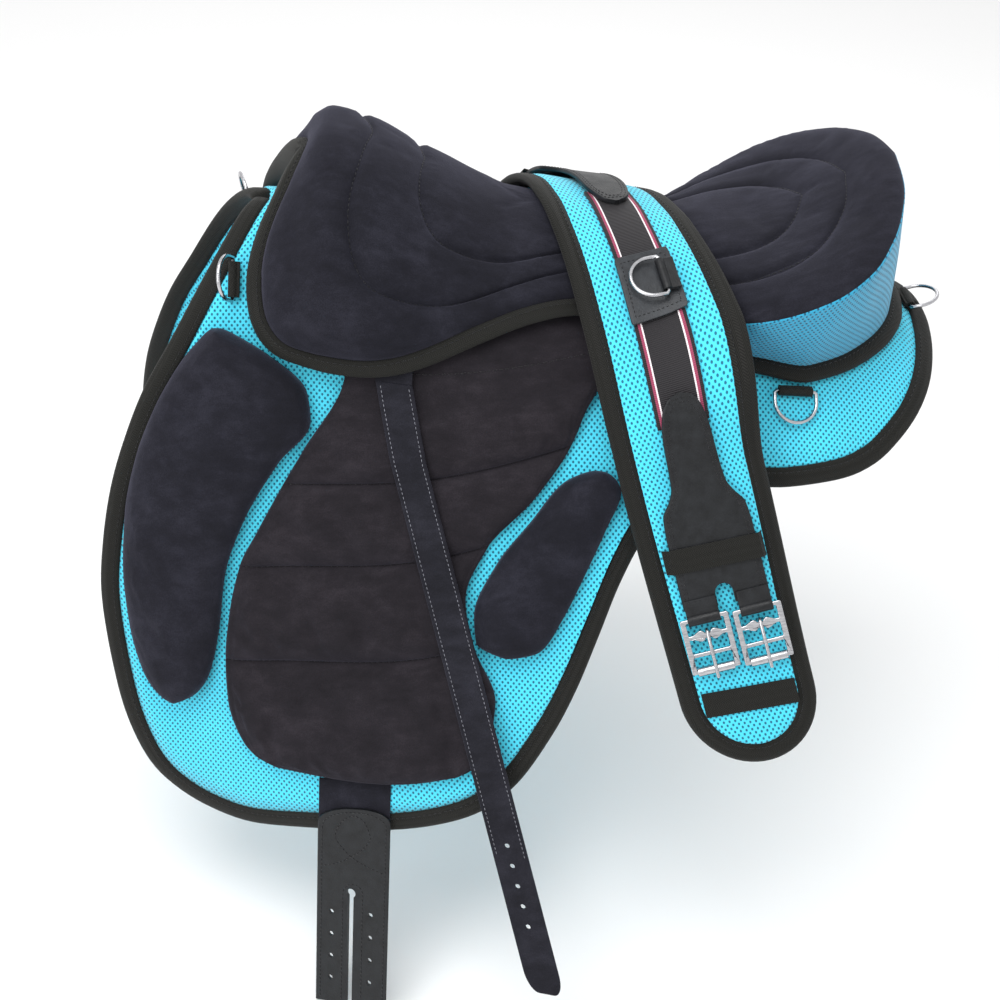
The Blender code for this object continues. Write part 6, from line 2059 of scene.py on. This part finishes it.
def make_girth_leather(end):
    which = "near" if end > 0 else "far"
    widest = LEATHER_SHAPE[-1, 1]
    tip, foot = LEATHER_SHAPE[0, 0], LEATHER_SHAPE[-1, 0]
    back = np.concatenate([tip + LEATHER_POINT * (1 - np.cos(np.linspace(0, math.pi / 2, 12))),
                           np.linspace(tip + LEATHER_POINT + 1 * MM, foot, 80)])
    strap = band(
        f"girth_{which}_leather_end", oblong(2 * widest, GIRTH_LEATHER_THICK, 1.1 * MM, 16),
        end * (BUCKLE_PIVOT + back), lambda s, w, h: girth_place(s, w, LEATHER_LOW + h),
        lambda s: leather_half(s) / widest,
    )
    notch = girth_frame(end * NOTCH_TOP, 0, LEATHER_LOW)
    down = Matrix.Translation((0, -end * NOTCH_REACH / 2, 0))
    cut(strap, block("notch", NOTCH_WIDTH, NOTCH_REACH, notch @ down))
    cut(strap, pins([notch], NOTCH_WIDTH))
    line = fold_line(bore_round(BUCKLE_BAR), LOOP_THICK, LOOP_TAIL)
    for turn in (-1, 1):
        loop = folded("loop", line, LOOP_WIDTH, LOOP_THICK, buckle_matrix(end, turn))
        cut(strap, loop, "UNION")
    dressed(strap, "girth", "leather", replaces=(f"girth_{which}_leather",))
    top = LEATHER_LOW + GIRTH_LEATHER_THICK + 0.1 * MM
    past_point = tip + np.array([8, 5, 3.5]) * MM
    s = np.concatenate([np.linspace(foot - 4 * MM, tip + LEATHER_POINT, 90), past_point])
    runs = []
    for inset in STITCH_ROWS:
        w = np.maximum(leather_half(BUCKLE_PIVOT + s) - inset, 0)
        around = np.concatenate([w, -w[::-1]])
        there = np.concatenate([s, s[::-1]]) + (inset - STITCH_ROWS[0]) * (np.abs(around) < 9 * MM)
        runs.append(girth_place(end * (BUCKLE_PIVOT + there), around, top))
    for turn in (-1, 1):
        across = turn * BUCKLE_SPACING / 2 + np.linspace(-1, 1, 20) * (LOOP_WIDTH / 2 - 2 * MM)
        runs.append(girth_place(end * (BUCKLE_PIVOT - LOOP_TAIL + 2 * MM), across, top + 1.4 * MM))
    sew(f"girth_{which}_leather_stitching", runs, "girth", "black thread", stitch=2.4 * MM, gap=1.0 * MM,
        width=0.6 * MM)
    print(which, "leather end:", len(strap.data.polygons), "faces")


for end in (1, -1):
    make_girth_leather(end)

# %% [markdown]
# ### Keepers, patch and the girth's dee
#
# A keeper is a short strap across the girth that holds the leather down. The square patch over the
# middle of the elastic is sewn round, with a dee folded into its leather. The dee has to swing about
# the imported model's own hinge, so its place and its bar come from that joint.

# %% Keepers
KEEPER_WIDTH = 18 * MM
KEEPER_THICK = 1.6 * MM
UPPER_KEEPER = GIRTH_HALF - 158 * MM
LOWER_KEEPER = GIRTH_HALF - 49 * MM


def make_keeper(name, s_at, low):
    half = GIRTH_WIDTH / 2 * float(girth_taper(s_at)) - GIRTH_BINDING - 2 * MM

    def where(w, s, h):
        rise = ELASTIC_LOW + (low - ELASTIC_LOW) * smooth((1 - np.abs(w) / half) / 0.12)
        return girth_place(s_at + s, w, rise + h)

    keeper = band(f"{name}_strap", oblong(KEEPER_WIDTH, KEEPER_THICK, 0.4 * MM, 6),
                  half * (2 * spaced(60, 0.6) - 1), where)
    dressed(keeper, "girth", "webbing", replaces=(name,))


for which, end in (("near", 1), ("far", -1)):
    over_leather = LEATHER_LOW + GIRTH_LEATHER_THICK + 1.0 * MM
    make_keeper(f"girth_{which}_upper_keeper", end * UPPER_KEEPER, over_leather)
    make_keeper(f"girth_{which}_lower_keeper", end * LOWER_KEEPER, ELASTIC_LOW)
print("four keepers,", KEEPER_WIDTH, "m wide")

# %% Patch and dee
PATCH_SIDE = 42 * MM
PATCH_THICK = 2.4 * MM
PATCH_CORNER = 3 * MM
PATCH_STITCH = 4 * MM


def make_patch():
    half = PATCH_SIDE / 2
    patch = band(
        "girth_leather_patch", oblong(PATCH_SIDE, PATCH_THICK, 0.8 * MM, 10),
        half * (2 * spaced(40, 0.6) - 1), lambda s, w, h: girth_place(s, w, LEATHER_LOW + h),
        lambda s: 1 - 0.06 * (1 - bump((half - np.abs(s)) / PATCH_CORNER)),
    )
    # The patch's lighter leather colour is a painted highlight.
    dressed(patch, "girth", "patch leather with painted highlight", replaces=("girth_patch",))
    reach = half - PATCH_STITCH
    square = rounded_box(-reach, -reach, reach, reach, 1.5 * MM, 4)
    border = path(np.array(square + square[:1]), 120)
    lifted = girth_place(border[:, 0], border[:, 1], LEATHER_LOW + PATCH_THICK + 0.1 * MM)
    sew("girth_patch_stitching", [lifted], "girth", "black thread", stitch=2.4 * MM, width=0.7 * MM)


def girth_dee_matrix():
    """Axes on the joint of the girth's dee: +X along its bar, +Z out of the girth."""
    hinge = next(joint for joint in frame["joints"] if joint["name"] == "girth_dee_flip")
    laid = girth_frame(0, 0, 0) @ Matrix.Rotation(math.radians(-90), 4, "Z")
    bar = Vector(hinge["axis"])
    if bar.dot(laid.col[0].xyz) < 0:
        bar = -bar
    out = laid.col[2].xyz
    out = (out - bar * out.dot(bar)).normalized()
    turn = Matrix((bar, out.cross(bar), out)).transposed().to_4x4()
    return Matrix.Translation(hinge["pos_m"]) @ turn


make_patch()
make_dee("girth", "girth_dee_ring", girth_dee_matrix(), 0, 10 * MM, "girth", "leather")
print("patch and dee on; leather lies", round(LEATHER_LOW, 4), "m above the girth's back")

# %% [markdown]
# ## Floor and finish
#
# The floor is a plain pale sheet just under the lowest strap.

# %% Floor and finish
FLOOR_HALF = 9
FLOOR_GAP = 1 * MM


def make_floor():
    low = Matrix.Translation((0, 0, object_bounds()[0].z - FLOOR_GAP))
    bm = bmesh.new()
    bmesh.ops.create_grid(bm, x_segments=1, y_segments=1, size=FLOOR_HALF, matrix=low)
    mesh = bpy.data.meshes.new("floor")
    bm.to_mesh(mesh)
    bm.free()
    floor = bpy.data.objects.new("floor", mesh)
    bpy.context.scene.collection.objects.link(floor)
    paper = new_material("white backdrop paper", {"Base Color": hex_colour("#F2F2F2"), "Roughness": 0.9})[0]
    floor.data.materials.append(paper)


make_floor()
